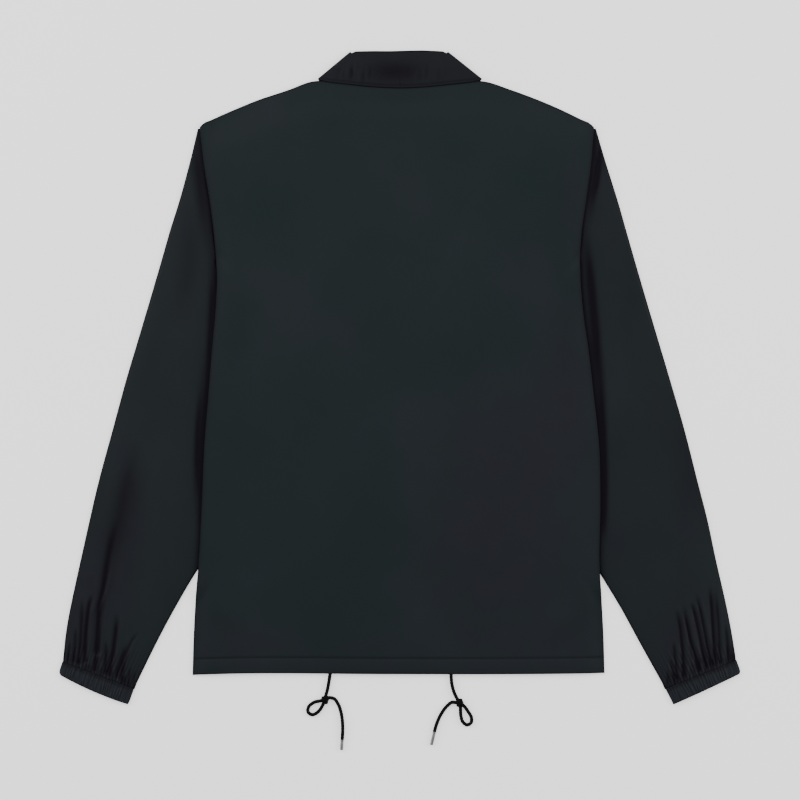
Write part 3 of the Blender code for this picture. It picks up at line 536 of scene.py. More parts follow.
def back_low(x, y, rows):
    """Height of the back's underside: it rides on the fronts and rolls down at its free edges."""
    lift = np.maximum(sleeve_lift(x, y), 0.5 * wing_lift(x, y))
    level = rows[:, None]
    to_side = np.minimum(x - x[:, :1], x[:, -1:] - x)
    to_top = y[-1:, :] - y
    armhole = 0.5 * ease((level - 470.0) / 40.0) * ease((18.0 - to_side) / 8.0)
    side = ease(to_side / EDGE_ROLL)
    collar_side = 0.5 * ease((155.0 - np.abs(x)) / 25.0)
    top = np.maximum(ease(to_top / (2.0 * EDGE_ROLL)), collar_side)
    free = np.maximum(np.minimum(side, top), armhole)
    return LAYER + BACK_RISE * np.maximum(lift, free)


def hem_relief(x, rows):
    """The hem casing: a groove along its stitching, a soft swell below it, and puckers across it."""
    level = rows[:, None] - CASING_DEPTH
    groove = -0.45 * np.exp(-(level / 1.3) ** 2)
    swell = 0.3 * np.clip(1.0 - ((level + 9.5) / 9.0) ** 2, 0.0, 1.0)
    pucker = ripple(x, 0.0, ((9.5, 1.0, 0.3, 0.10), (13.7, 1.0, 1.9, 0.09), (23.0, 1.0, 4.0, 0.08)))
    fade = np.where(level < 0.0, np.exp(-(level / 7.0) ** 2), np.exp(-(level / 10.0) ** 2))
    return groove + swell + pucker * fade


def make_back():
    """The back: the solid's form on a fine grid, with drag lines, a stitched hem and round edges.

    Returns the piece and its hem's sewn line.
    """
    rows = fine_steps(SIDE_LENGTH, 3.0, BACK_STEP, HEM_BAND)
    share = fine_steps(FULL_HALF + EDGE_STEPS[-1], EDGE_STEPS[-1], BACK_STEP)
    share = share[share < FULL_HALF - 1.0] / FULL_HALF
    share = np.append(share, 1.0)
    across = (np.concatenate([1.0 - 0.5 * share, 0.5 * share[-2::-1]]),
              np.concatenate([0.5 * share, 1.0 - 0.5 * share[-2::-1]]),
              np.zeros(2 * len(share) - 1))
    x, y = body_grid(rows, across, lambda at: curve_through(BACK_TOP, at, 1))
    low = back_low(x, y, rows)
    to_side = np.minimum(x - x[:, :1], x[:, -1:] - x)
    to_edge = np.minimum(to_side, np.minimum(y[-1:] - y, y - y[:1]))
    inside = np.clip(to_side / 50.0, 0.0, 1.0)
    waves = ripple(x, y, ((310.0, 420.0, 0.8, 0.22), (-190.0, 260.0, 2.2, 0.14), (95.0, -330.0, 4.1, 0.07)))
    drag, drag_shade = crease_field(x, y, BACK_CREASES)
    relief = waves * inside + drag + hem_relief(x, rows)
    high = low + WALL + relief * np.clip(to_edge / 4.0, 0.0, 1.0) - edge_drop(to_edge)
    outer, inner = (np.stack([x, y, z], axis=-1) for z in (high, low))
    level = rows[:, None] - CASING_DEPTH
    # Painted shade along the edges, in the hem's stitched groove and in the drag lines; the tint patches
    # are painted purple sheen.
    fold = painted_edge_shade(to_edge) + 0.35 * np.exp(-(level / 1.5) ** 2) + 0.4 * drag_shade
    mesh = close_wall("back_cloth", outer, inner, point_numbers(x), fold, patches(x, y, BACK_TINTS))
    return link("back_cloth", mesh), outer[np.argmin(np.abs(rows - CASING_DEPTH))]


def make_front(name, side, lap):
    """A front: on the floor, lifted by the sleeve, the collar's wing and the snap fasteners.

    Its outside looks down. Returns the piece and the sewn lines of its hem and its edge there.
    """
    rows = fine_steps(SIDE_LENGTH, 3.0, FRONT_STEP, HEM_BAND, 3.0)
    share = np.append(np.arange(0.0, FRONT_SPAN, FRONT_COLUMN), FRONT_SPAN) / FRONT_SPAN
    keep = 1.0 - share
    zero = np.zeros_like(share)
    fixed = -side * (PLACKET_LAP * share + SEAM * keep)
    across = (keep, zero, fixed) if side < 0 else (zero, keep, fixed)

    def top_of(at):
        neck = curve_through(FRONT_NECK, np.where(at * side > 0, np.abs(at), -np.abs(at)), 1)
        return np.where(np.abs(at) < NECK_POINT_X, neck, curve_through(BACK_TOP, at, 1))

    x, y = body_grid(rows, across, top_of)
    y[-1] -= SEAM
    y[0] += SEAM
    low = np.maximum(BACK_RISE * sleeve_lift(x, y), LAYER * wing_lift(x, y))
    low = np.maximum(low, lap * placket_lift(x))
    to_end = np.minimum(y[-1:] - y, y - y[:1])
    high = low + WALL - 0.6 * edge_drop(to_end)
    # The dents are also painted shade in the drag lines and along the sewn lines, and fold adds painted
    # shade at the ends; the tint is the back's painted purple sheen, mirrored.
    dents = 0.6 * np.clip(crease_field(x, y, FRONT_CREASES)[1], 0.0, 1.0)
    level = rows[:, None] - CASING_DEPTH
    lapped = np.abs(x) - PLACKET_STITCH_X
    sewn = np.exp(-(level / 1.8) ** 2) + np.exp(-(lapped / 1.8) ** 2) * (x * side < 0.0)
    dents = dents + 0.25 * np.clip(sewn, 0.0, 1.0)
    fold = painted_edge_shade(to_end) + 1.1 * dents
    outer, under = (np.stack([x, y, z], axis=-1) for z in (high, low + dents))
    mesh = close_wall(name, outer, under, point_numbers(x), fold, patches(-x, y, BACK_TINTS))
    hem_row = np.argmin(np.abs(rows - CASING_DEPTH))
    edge_column = np.argmin(np.abs(x[len(rows) // 2] + side * PLACKET_STITCH_X))
    return link(name, mesh), (under[hem_row], under[:, edge_column])


def flat_tube(name, ends, opening, wall, high, crown, counts, shade_of, sunk, bow):
    """A flattened tube through sections.

    Each section runs along a line in plan from the outer to the inner fold: a lower wall on the
    floor, half an ellipse round the outer fold, an upper wall whose height crown gives, and half
    an ellipse round the inner fold. The first sections can be open at the inner side, where the
    upper wall sinks by sunk under the body's edge, and bow is how far the middle of a section
    sags towards the cuff. shade_of gives fold, tint and the dents of the lower wall from plan x,
    plan y, the place across, the full width, and which points are on top.
    """
    outer_x, outer_y, inner_x, inner_y = ends
    open_rows, upper_reach, lower_reach = opening
    lower, upper, turn = counts
    width = np.hypot(inner_x - outer_x, inner_y - outer_y)
    rows = len(width)
    radius = np.minimum(FOLD_RADIUS + wall - WALL, 0.45 * width + 0.2)
    bore = np.maximum(radius - wall, 0.5)
    middle, gap = high / 2.0, high / 2.0 - wall
    opened = (np.arange(rows) < open_rows)[:, None]
    width, radius, bore = width[:, None], radius[:, None], bore[:, None]
    upper_reach, lower_reach = upper_reach[:, None], lower_reach[:, None]

    def arc(centre, start, stop, count):
        """Half ellipses round a fold: places across and heights, outer skin and then inner."""
        angle = np.radians(np.linspace(start, stop, count))[None, :]
        rise = np.sin(angle) + 0.0 * radius
        return (centre + radius * np.cos(angle), middle + middle * rise,
                centre + bore * np.cos(angle), middle + gap * rise)

    def flat(start, stop, first, last, count):
        """Even places along an open section's wall: steps first to last of its whole count."""
        return start + (stop - start) * np.arange(first, last + 1) / (count + turn)

    def fold_or_flat(fold, places, outer_level, inner_level):
        """The inner fold where the tube is closed, and a flat end of the wall where it is open."""
        return tuple(np.where(opened, level, part)
                     for level, part in zip((places, outer_level, places, inner_level), fold))

    fold = arc(width - radius, 0.0, -90.0, turn + 1)
    parts = [fold_or_flat(fold, flat(lower_reach, radius, 0, turn, lower), 0.0, wall)]
    w = width - radius + (2.0 * radius - width) * np.arange(1, lower) / lower
    w = np.where(opened, flat(lower_reach, radius, turn + 1, turn + lower - 1, lower), w)
    parts.append((w, 0.0 * w, w, 0.0 * w + wall))
    parts.append(arc(radius, -90.0, -270.0, 2 * turn + 1))
    w = radius + (width - 2.0 * radius) * np.arange(1, upper + 1) / upper
    w = np.where(opened, flat(radius, upper_reach, 1, upper, upper), w)
    top, inside = crown(w, width)
    parts.append((w, top, w, inside))
    fold = [part[:, 1:] for part in arc(width - radius, 90.0, 0.0, turn + 1)]
    places = flat(radius, upper_reach, upper + 1, upper + turn, upper)
    parts.append(fold_or_flat(fold, places, high, high - wall))
    w, z, w_in, z_in = (np.concatenate(each, axis=1) for each in zip(*parts))

    def to_points(across, lift):
        share = across / width
        sag = bow[:, None] * 4.0 * share * (1.0 - share)
        x = outer_x[:, None] + share * (inner_x - outer_x)[:, None]
        y = outer_y[:, None] + share * (inner_y - outer_y)[:, None] - sag
        return np.stack([x, y, lift], axis=-1)

    dip = np.where(opened, sunk[:, None] * ease((w - width + 2.5) / 2.5), 0.0) * (z > middle)
    z, z_in = z - dip, z_in - dip
    plan = to_points(w, z)
    # shade_of gives fold, the painted shade, and tint, the painted purple sheen.
    fold, tint, dents = shade_of(plan[..., 0], plan[..., 1], w, width, z > middle)
    z = z + dents * (z < 0.05)
    index = point_numbers(w)
    index[~opened[:, 0], -1] = index[~opened[:, 0], 0]
    return close_wall(name, to_points(w, z), to_points(w_in, z_in), index, fold, tint)


def make_sleeve(name, table, creases, side, seed):
    """A sleeve on its solid's form, with its folds, its gathers and small puckers at the cuff."""
    last = len(table) - 1.0
    at = np.concatenate([np.linspace(0.0, OPEN_SECTIONS - 1.0, OPEN_ROWS),
                         np.linspace(OPEN_SECTIONS - 1.0, GATHERED_FROM, 84)[1:],
                         np.linspace(GATHERED_FROM, last, 66)[1:]])
    ends = sections_at(table, at)
    shown = ends.pop()[:, None]
    into_cuff = INTO_CUFF * ease((at - last + 0.12) / 0.12)
    ends[1], ends[3] = ends[1] - into_cuff, ends[3] - into_cuff
    width = np.hypot(ends[2] - ends[0], ends[3] - ends[1])
    sunk = 0.5 * (1.0 - ease((ends[3] - TUCK_FROM_Y) / TUCK_RAMP))
    high = 2.0 * WALL + LAY
    near_cuff = ease((at - 13.9) / 1.1)[:, None]
    creases = creases + small_gathers(table[-1], GATHER_REACH, seed)

    def ribs(w, full):
        turn = TURN * CUFF_RIBS * w / full
        return np.cos(turn + 0.7 * np.sin(0.37 * turn))

    def crown(w, full):
        x = ends[0][:, None] + w / full * (ends[2] - ends[0])[:, None]
        y = ends[1][:, None] + w / full * (ends[3] - ends[1])[:, None]
        swell = np.clip(1.0 - (2.0 * w / shown - 1.0) ** 4, 0.0, 1.0) * ease(shown / 40.0)
        waves = ripple(x, y, ((side * 160.0, 230.0, 0.6, 0.22), (side * -85.0, 310.0, 2.9, 0.12)))
        lift = SLEEVE_RISE + waves + crease_field(x, y, creases)[0] + near_cuff * 0.32 * ribs(w, full)
        top = high + swell * np.maximum(lift, 0.0)
        return top, top - WALL

    def shade_of(x, y, w, full, on_top):
        # Painted shade beside the body's edge, where the sleeve runs under it, in the creases, along the
        # free edges and in the gathers by the cuff; the tint patches are painted purple sheen.
        body_edge = curve_through(SIDE, y, 1 if side < 0.0 else 2)
        beside = np.maximum(np.abs(x) - np.abs(body_edge), 0.0)
        upper = ease((y + 40.0) / 120.0)
        deep = ease((y + 215.0) / 50.0) * ease((120.0 - y) / 90.0)
        seam = 0.95 * np.exp(-beside / 3.2) + (0.14 + 0.25 * upper) * np.exp(-beside / 14.0)
        seam = np.maximum(seam, 0.9 * deep * np.exp(-(beside / (6.2 + 1.2 * side)) ** 2))
        creased = np.clip(crease_field(x, y, creases)[1], 0.0, 1.2)
        free = painted_edge_shade(np.minimum(w, np.where(y < -225.0, full - w, 50.0)))
        painted_gather_shade = 0.18 * near_cuff * (1.0 - ribs(w, full))
        fold = seam * on_top + 0.8 * creased + free + painted_gather_shade
        return fold, patches(x, y, SLEEVE_TINTS), 0.5 * np.clip(creased, 0.0, 1.0)

    tuck = 1.0 + (TUCK - 1.0) * ease((ends[3] - SHORT_TUCK_Y) / SHORT_TUCK_RAMP)
    opening = (OPEN_ROWS, width + tuck - SEAM, width - SEAM)
    mesh = flat_tube(name, ends, opening, WALL, high, crown, SLEEVE_COLUMNS, shade_of, sunk,
                     np.zeros(len(at)))
    return link(name, mesh)


def make_cuff(name, table, phase):
    """An elastic casing: uneven ribs that run down it, and one line of stitching along its top.

    Returns the piece and its sewn line.
    """
    at = np.linspace(0.0, 2.0, 26)
    ends = sections_at(table, at)
    bow = ends.pop()
    width = np.hypot(ends[2] - ends[0], ends[3] - ends[1])
    high = 2.0 * CUFF_WALL + LAY
    share_down = (at / 2.0)[:, None]
    dome = np.sqrt(np.clip(1.0 - (2.0 * share_down - 1.0) ** 2, 0.0, 1.0))
    line = np.exp(-((share_down - CUFF_STITCH_SHARE) / 0.06) ** 2)

    def rib_turn(share):
        wander = 3.4 * np.sin(9.0 * share + phase) + 1.5 * np.sin(37.0 * share + 2.0 * phase)
        lean = 2.6 * np.sin(17.0 * share + phase) + 1.2 * np.sin(41.0 * share)
        return TURN * CUFF_RIBS * share + wander + lean * share_down

    def uneven(share):
        return np.sin(23.0 * share + 2.0 * phase) * np.sin(51.0 * share + phase + 5.0 * share_down)

    def crown(w, full):
        share = w / full
        swell = np.clip(1.0 - (2.0 * share - 1.0) ** 6, 0.0, 1.0)
        plain = high - CUFF_WALL + swell * 0.7
        rib = RIB_HEIGHT * (1.0 + np.cos(rib_turn(share))) * (0.6 + 0.4 * uneven(share))
        rib = rib * (0.3 + 0.7 * dome)
        return plain + CUFF_WALL + swell * (rib - 0.35 * line), plain

    def shade_of(x, y, w, full, on_top):
        # Painted shade in the furrows between the ribs, at both ends and along the stitching; the tint lays
        # painted purple sheen over the whole cuff.
        share = w / full
        furrow = 1.0 - np.cos(rib_turn(share))
        painted_end_shade = painted_edge_shade(np.minimum(share_down, 1.0 - share_down) * 16.0)
        fold = 0.17 * furrow * (0.6 + 0.55 * uneven(share)) + 0.8 * painted_end_shade + 0.1 * line
        return fold, np.full_like(w, 0.9), 0.1 * furrow

    mesh = flat_tube(name, ends, (0, width, width), CUFF_WALL, high, crown, CUFF_COLUMNS, shade_of,
                     np.zeros(len(at)), bow)
    share = np.linspace(0.05, 0.95, 160)
    row = np.argmin(np.abs(at / 2.0 - CUFF_STITCH_SHARE))
    x, y = (ends[k][row] + share * (ends[k + 2][row] - ends[k][row]) for k in (0, 1))
    y = y - bow[row] * 4.0 * share * (1.0 - share)
    top = crown(np.broadcast_to(share * width[row], (len(at), len(share))), width[:, None])[0][row]
    return link(name, mesh), np.stack([x, y, top], axis=-1)


def folded_band(name, parts, heights, shape, counts, relief):
    """A band that runs round the neck: flat in front, over a fold at each side, flat behind.

    Returns its mesh and the grid of its outer face. parts are plan points of its roll and its
    edge in front, at the fold and behind, on the left half. relief gives the height added to the
    outer face of the part behind, and the painted shade, from plan x and the share down from the roll.
    """
    front, fold, back = parts
    front_z, back_z = heights
    fold_radius, inset, roll_share = shape
    front_count, fold_count, back_count, down_count = counts
    centre, half = (front_z + back_z) / 2.0, (back_z - front_z) / 2.0
    run = Vector((fold[2] - fold[0], fold[3] - fold[1])).normalized()
    out = np.array([run.y, -run.x])
    at = np.linspace(0.0, len(front) - 1.0, front_count)
    front_plan = np.stack(sections_at(front, at), axis=1)
    angle = np.radians(np.linspace(-90.0, 90.0, fold_count))
    shift = (fold_radius * np.cos(angle) - inset)[:, None] * out
    fold_plan = np.array(fold) + np.concatenate([shift, shift], axis=1)
    at = np.linspace(0.0, len(back) - 1.0, back_count)
    back_plan = np.stack(sections_at(back, at), axis=1)
    plan = np.concatenate([front_plan, fold_plan, back_plan])

    def along(in_front, at_fold, behind):
        """One value for each column of the left half, from the front's middle to the back's."""
        return np.concatenate([np.full(front_count, in_front), at_fold, np.full(back_count, behind)])

    side_x, side_y = (along(0.0, part * np.cos(angle), 0.0) for part in out)
    up = along(-1.0, np.sin(angle), 1.0)
    level = along(front_z, centre + half * np.sin(angle), back_z)
    flip = np.array([-0.97, 1.0, -1.0, 1.0])
    plan = np.concatenate([plan, (plan * flip)[-2::-1]])
    plan[:, 1] += 0.8 * np.exp(-((plan[:, 0] - 22.0) / 20.0) ** 2)
    side_x = np.concatenate([side_x, -side_x[-2::-1]])
    side_y, up, level = (np.concatenate([v, v[-2::-1]]) for v in (side_y, up, level))
    down = np.linspace(0.0, 1.0, down_count)[:, None]
    down = np.concatenate([[[0.0], [0.006], [0.018], [0.035]], down[1:-1], [[0.985], [0.995], [1.0]]])
    curl = roll_share + (1.0 - roll_share) * np.sqrt(1.0 - (1.0 - np.clip(down / 0.06, 0.0, 1.0)) ** 2)
    x = plan[:, 0] + down * (plan[:, 2] - plan[:, 0])
    y = plan[:, 1] + down * (plan[:, 3] - plan[:, 1])
    z = centre + (level - centre) * curl
    behind = np.clip(up, 0.0, 1.0)
    added, fold = relief(x, down)
    length = np.hypot(plan[:, 2] - plan[:, 0], plan[:, 3] - plan[:, 1])
    rim = 0.5 * edge_drop((1.0 - down) * length)
    thick = WALL / 2.0
    normal = np.stack([side_x + 0.0 * x, side_y + 0.0 * x, up + 0.0 * x], axis=-1)
    base = np.stack([x, y, z], axis=-1)
    outer = base + (thick - rim + added * behind)[..., None] * normal
    inner = base - (thick - rim - added * behind)[..., None] * normal
    # Painted shade, weaker on the part in front.
    fold = fold * (0.3 + 0.7 * behind)
    return close_wall(name, outer, inner, point_numbers(x), fold, np.zeros_like(x)), outer


def collar_relief(x, down):
    """The fall: a hollow low in its middle, small ripples, and a lip below its line of stitching."""
    dip = np.exp(-((x + 4.0) / 27.0) ** 2 - ((down - 0.6) / 0.26) ** 2)
    shoulder = 0.35 * np.exp(-((np.abs(x) - 46.0) / 18.0) ** 2) * np.exp(-((down - 0.5) / 0.35) ** 2)
    ripples = ripple(x, 40.0 * down,
                     ((7.4, 60.0, 0.2, 0.16), (11.3, -48.0, 1.7, 0.14), (17.0, 70.0, 3.9, 0.12)))
    strength = np.exp(-((x + 56.0) / 24.0) ** 2) + 0.4 * np.exp(-((x - 30.0) / 22.0) ** 2)
    strength = strength * np.exp(-((down - 0.68) / 0.22) ** 2)
    stitched = (1.0 - down) * FALL_DEPTH - COLLAR_STITCH_IN
    sewn = np.exp(-(stitched / 0.9) ** 2)
    wave = ripple(x, 0.0, ((64.0, 1.0, 0.9, 0.18), (37.0, 1.0, 2.0, 0.1)))
    relief = shoulder - 0.9 * dip + 1.3 * ripples * strength - 0.22 * sewn + wave * down
    # Painted shade in the hollow, along the stitching, in the ripples' troughs and along both edges.
    fold = 0.9 * dip + 0.5 * sewn + np.clip(-2.6 * ripples * strength, 0.0, 0.8)
    fold = fold + painted_edge_shade((1.0 - down) * FALL_DEPTH) + 0.35 * painted_edge_shade(down * FALL_DEPTH)
    return relief, fold


def plain_relief(x, down):
    """The stand: flat, and painted evenly with the fall's shade."""
    return np.zeros_like(x), np.full_like(x, 0.3)


def unit(vectors):
    """Each row of vectors, one long."""
    return vectors / np.linalg.norm(vectors, axis=1)[:, None]


def run_length(line):
    """How far along a line each of its points lies."""
    return np.concatenate([[0.0], np.cumsum(np.linalg.norm(np.diff(line, axis=0), axis=1))])


def round_turn(sides):
    """Even angles once round."""
    return TURN * np.arange(sides) / sides


def ring_quads(rings, sides):
    """The point numbers of rings on each other, the same one step on, and the quads between."""
    index = np.arange(rings * sides).reshape(rings, sides)
    ahead = np.roll(index, -1, axis=1)
    quads = np.stack([index[:-1], ahead[:-1], ahead[1:], index[1:]], axis=-1).reshape(-1, 4)
    return index, ahead, quads


def tube_mesh(name, path, radius, sides):
    """A closed tube: a circle of the given radii carried along a path, with domed ends.

    radius is an array of rings by sides, so a braid or a crimp can stand in it.
    """
    tangent = unit(np.gradient(path, axis=0))
    side = unit(np.cross(tangent, [0.0, 0.0, 1.0]))
    up = np.cross(side, tangent)
    turn = round_turn(sides)
    ring = (np.cos(turn)[None, :, None] * side[:, None] + np.sin(turn)[None, :, None] * up[:, None])
    points = path[:, None] + radius[..., None] * ring
    index, ahead, quads = ring_quads(len(path), sides)
    points = np.concatenate([points.reshape(-1, 3), path[:1], path[-1:]])
    near = np.stack([index[0], ahead[0], np.full(sides, index.size)], axis=-1)
    far = np.stack([ahead[-1], index[-1], np.full(sides, index.size + 1)], axis=-1)
    gone = run_length(path)
    uv = np.stack(np.broadcast_arrays(turn, gone[:, None]), axis=-1).reshape(-1, 2)
    uv = np.concatenate([uv, [[0.0, 0.0], [0.0, gone[-1]]]])
    mesh = bpy.data.meshes.new(name)
    faces = quads[:, [0, 3, 2, 1]].tolist() + near.tolist() + far.tolist()
    mesh.from_pydata((points * MM).tolist(), [], faces)
    layer = mesh.uv_layers.new(name="cord")
    corner = np.empty(len(mesh.loops), dtype=np.int32)
    mesh.loops.foreach_get("vertex_index", corner)
    layer.data.foreach_set("uv", uv[corner].astype(np.float32).ravel())
    mesh.shade_smooth()
    return mesh


def even_path(points, step):
    """Even points on a smooth curve through a route's points."""
    points = np.array(points, dtype=float)
    gone = run_length(points)
    table = [(s,) + tuple(point) for s, point in zip(gone, points)]
    at = np.linspace(0.0, gone[-1], max(8, int(gone[-1] / step)) + 1)
    return np.stack([curve_through(table, at, column) for column in (1, 2, 3)], axis=1)


def braided(path, radius, sides, pitch=3.4, strands=4, height=0.09):
    """Radii of a braid: two sets of helices, one each way, the higher of the two on top."""
    gone = run_length(path)[:, None]
    turn = round_turn(sides)
    advance = TURN * gone / pitch
    one = np.cos(strands * turn + advance)
    other = np.cos(strands * turn - advance)
    return radius * (1.0 - height + height * np.maximum(one, other))


def make_cord(name, route):
    """One end of the drawcord, from inside the hem through its knot and loop to its tip."""
    path = even_path(route, 0.45)
    mesh = tube_mesh(name, path, braided(path, CORD_RADIUS, 20), 20)
    return link(name, mesh), path


def make_knot(name, knot):
    """The knot's two wraps: a flattened helix of the same cord round the lead."""
    centre_x, centre_y, axis_x, axis_y = knot
    turn = np.linspace(-0.35, 2.2, 120) * TURN
    share = (turn / TURN - 0.925) * KNOT_SPREAD
    across = KNOT_SPREAD * np.cos(turn)
    lift = KNOT_Z + 1.5 * np.sin(turn)
    x = centre_x + share * axis_x - across * axis_y
    y = centre_y + share * axis_y + across * axis_x
    path = np.stack([x, y, lift], axis=1)
    mesh = tube_mesh(name, path, braided(path, WRAP_RADIUS, 16), 16)
    return link(name, mesh)


def make_tip(name, tip):
    """A crimped metal tube on the cord's end: a plain barrel with a rolled rim and two nicks."""
    start, end = np.array([tip[0], tip[1], FLOOR_Z]), np.array([tip[2], tip[3], FLOOR_Z])
    share = np.concatenate([[0.0, 0.004, 0.02, 0.05, 0.08], np.linspace(0.1, 0.92, 40),
                            [0.95, 0.975, 0.99, 0.998, 1.0]])
    path = start + share[:, None] * (end - start)
    radius = np.full(len(share), TIP_RADIUS)
    radius += 0.08 * np.exp(-((share - 0.05) / 0.03) ** 2)
    radius -= 0.22 * np.exp(-((share - 0.2) / 0.025) ** 2)
    radius -= 0.12 * np.exp(-((share - 0.3) / 0.02) ** 2)
    radius *= np.sqrt(np.clip(1.0 - (np.clip(share - 0.94, 0.0, 1.0) / 0.075) ** 2, 0.05, 1.0))
    radius[0] *= 0.9
    seam = 0.06 * np.exp(-((round_turn(24) - 1.2) / 0.16) ** 2)
    mesh = tube_mesh(name, path, radius[:, None] - seam, 24)
    return link(name, mesh)


def stitches(name, lines, sewing, facing=1.0):
    """Short threads along lines of surface points: each an arc of five rings of six points.

    sewing is their pitch, length and radius. A thread sinks into the cloth at both ends and
    stands a little proud in its middle. facing is -1 where the cloth's outer face looks down.
    """
    pitch, length, radius = sewing
    places, headings = [], []
    for line in lines:
        gone = run_length(line)
        at = np.arange(pitch / 2.0, gone[-1], pitch)
        spot, ahead, behind = (np.stack([np.interp(at + step, gone, line[:, k]) for k in range(3)], axis=1)
                               for step in (0.0, 0.5, -0.5))
        places.append(spot)
        headings.append(unit(ahead - behind))
    spot, run = np.concatenate(places), np.concatenate(headings)
    side = unit(np.cross(run, [0.0, 0.0, 1.0])) * facing
    up = np.cross(side, run)
    share = np.array([-1.0, -0.75, 0.0, 0.75, 1.0])
    thick = radius * np.array([0.35, 0.9, 1.0, 0.9, 0.35])
    lift = radius * np.array([-1.1, -0.1, 0.35, -0.1, -1.1])
    turn = round_turn(6)
    local = np.stack([np.repeat(share * length / 2.0, 6),
                      (thick[:, None] * np.cos(turn)).ravel(),
                      (lift[:, None] + thick[:, None] * np.sin(turn)).ravel()], axis=1)
    points = (spot[:, None] + local[None, :, :1] * run[:, None] + local[None, :, 1:2] * side[:, None]
              + local[None, :, 2:] * up[:, None]).reshape(-1, 3)
    ends = np.array([[5, 4, 1, 0], [4, 3, 2, 1], [24, 25, 28, 29], [25, 26, 27, 28]])
    one = np.concatenate([ring_quads(5, 6)[2], ends])
    faces = (one[None] + 30 * np.arange(len(spot))[:, None, None]).reshape(-1, 4)
    return link(name, mesh_of(name, points, faces))


def turned_disc(name, x, y, profile, segments=40):
    """A turned piece: a profile of radius and height carried round an upright axis."""
    turn = round_turn(segments)
    radius, height = np.array(profile).T[..., None]
    points = np.stack([x + radius * np.cos(turn), y + radius * np.sin(turn), height + 0.0 * turn], axis=-1)
    index, _, quads = ring_quads(len(profile), segments)
    mesh = bpy.data.meshes.new(name)
    faces = quads.tolist() + [index[0, ::-1].tolist(), index[-1].tolist()]
    mesh.from_pydata((points.reshape(-1, 3) * MM).tolist(), [], faces)
    mesh.shade_smooth()
    mesh.set_sharp_from_angle(angle=math.radians(35.0))
    return link(name, mesh)


def set_inputs(node, values):
    """Set the plain values of a shader node's inputs."""
    for key, value in values.items():
        node.inputs[key].default_value = value


def add_node(tree, kind, x, y, inputs=None, **values):
    """Place a shader node and set its plain inputs and properties."""
    node = tree.nodes.new(kind)
    node.location = (x, y)
    for key, value in values.items():
        setattr(node, key, value)
    set_inputs(node, inputs or {})
    return node


def join(tree, *links):
    """Join nodes: each link is a node, its output, the node that it feeds, and that one's input."""
    for source, output, target, into in links:
        tree.links.new(source.outputs[output], target.inputs[into])


def add_noise(tree, place, x, y, scale, detail=2.0):
    """A noise on the coordinates of a node that gives places on the piece."""
    noise = add_node(tree, "ShaderNodeTexNoise", x, y, {"Scale": scale, "Detail": detail})
    join(tree, (place, "UV" if place.bl_idname == "ShaderNodeUVMap" else "Object", noise, "Vector"))
    return noise


def add_range(tree, noise, x, y, inputs):
    """Spread a noise over another range."""
    spread = add_node(tree, "ShaderNodeMapRange", x, y, inputs)
    join(tree, (noise, "Fac", spread, "Value"))
    return spread


def add_math(tree, operation, x, y, *values):
    """A sum on up to three values: each a node with the name of its output, or a plain number."""
    node = add_node(tree, "ShaderNodeMath", x, y, operation=operation)
    for place, value in enumerate(values):
        if isinstance(value, tuple):
            join(tree, (*value, node, place))
        else:
            node.inputs[place].default_value = value
    return node


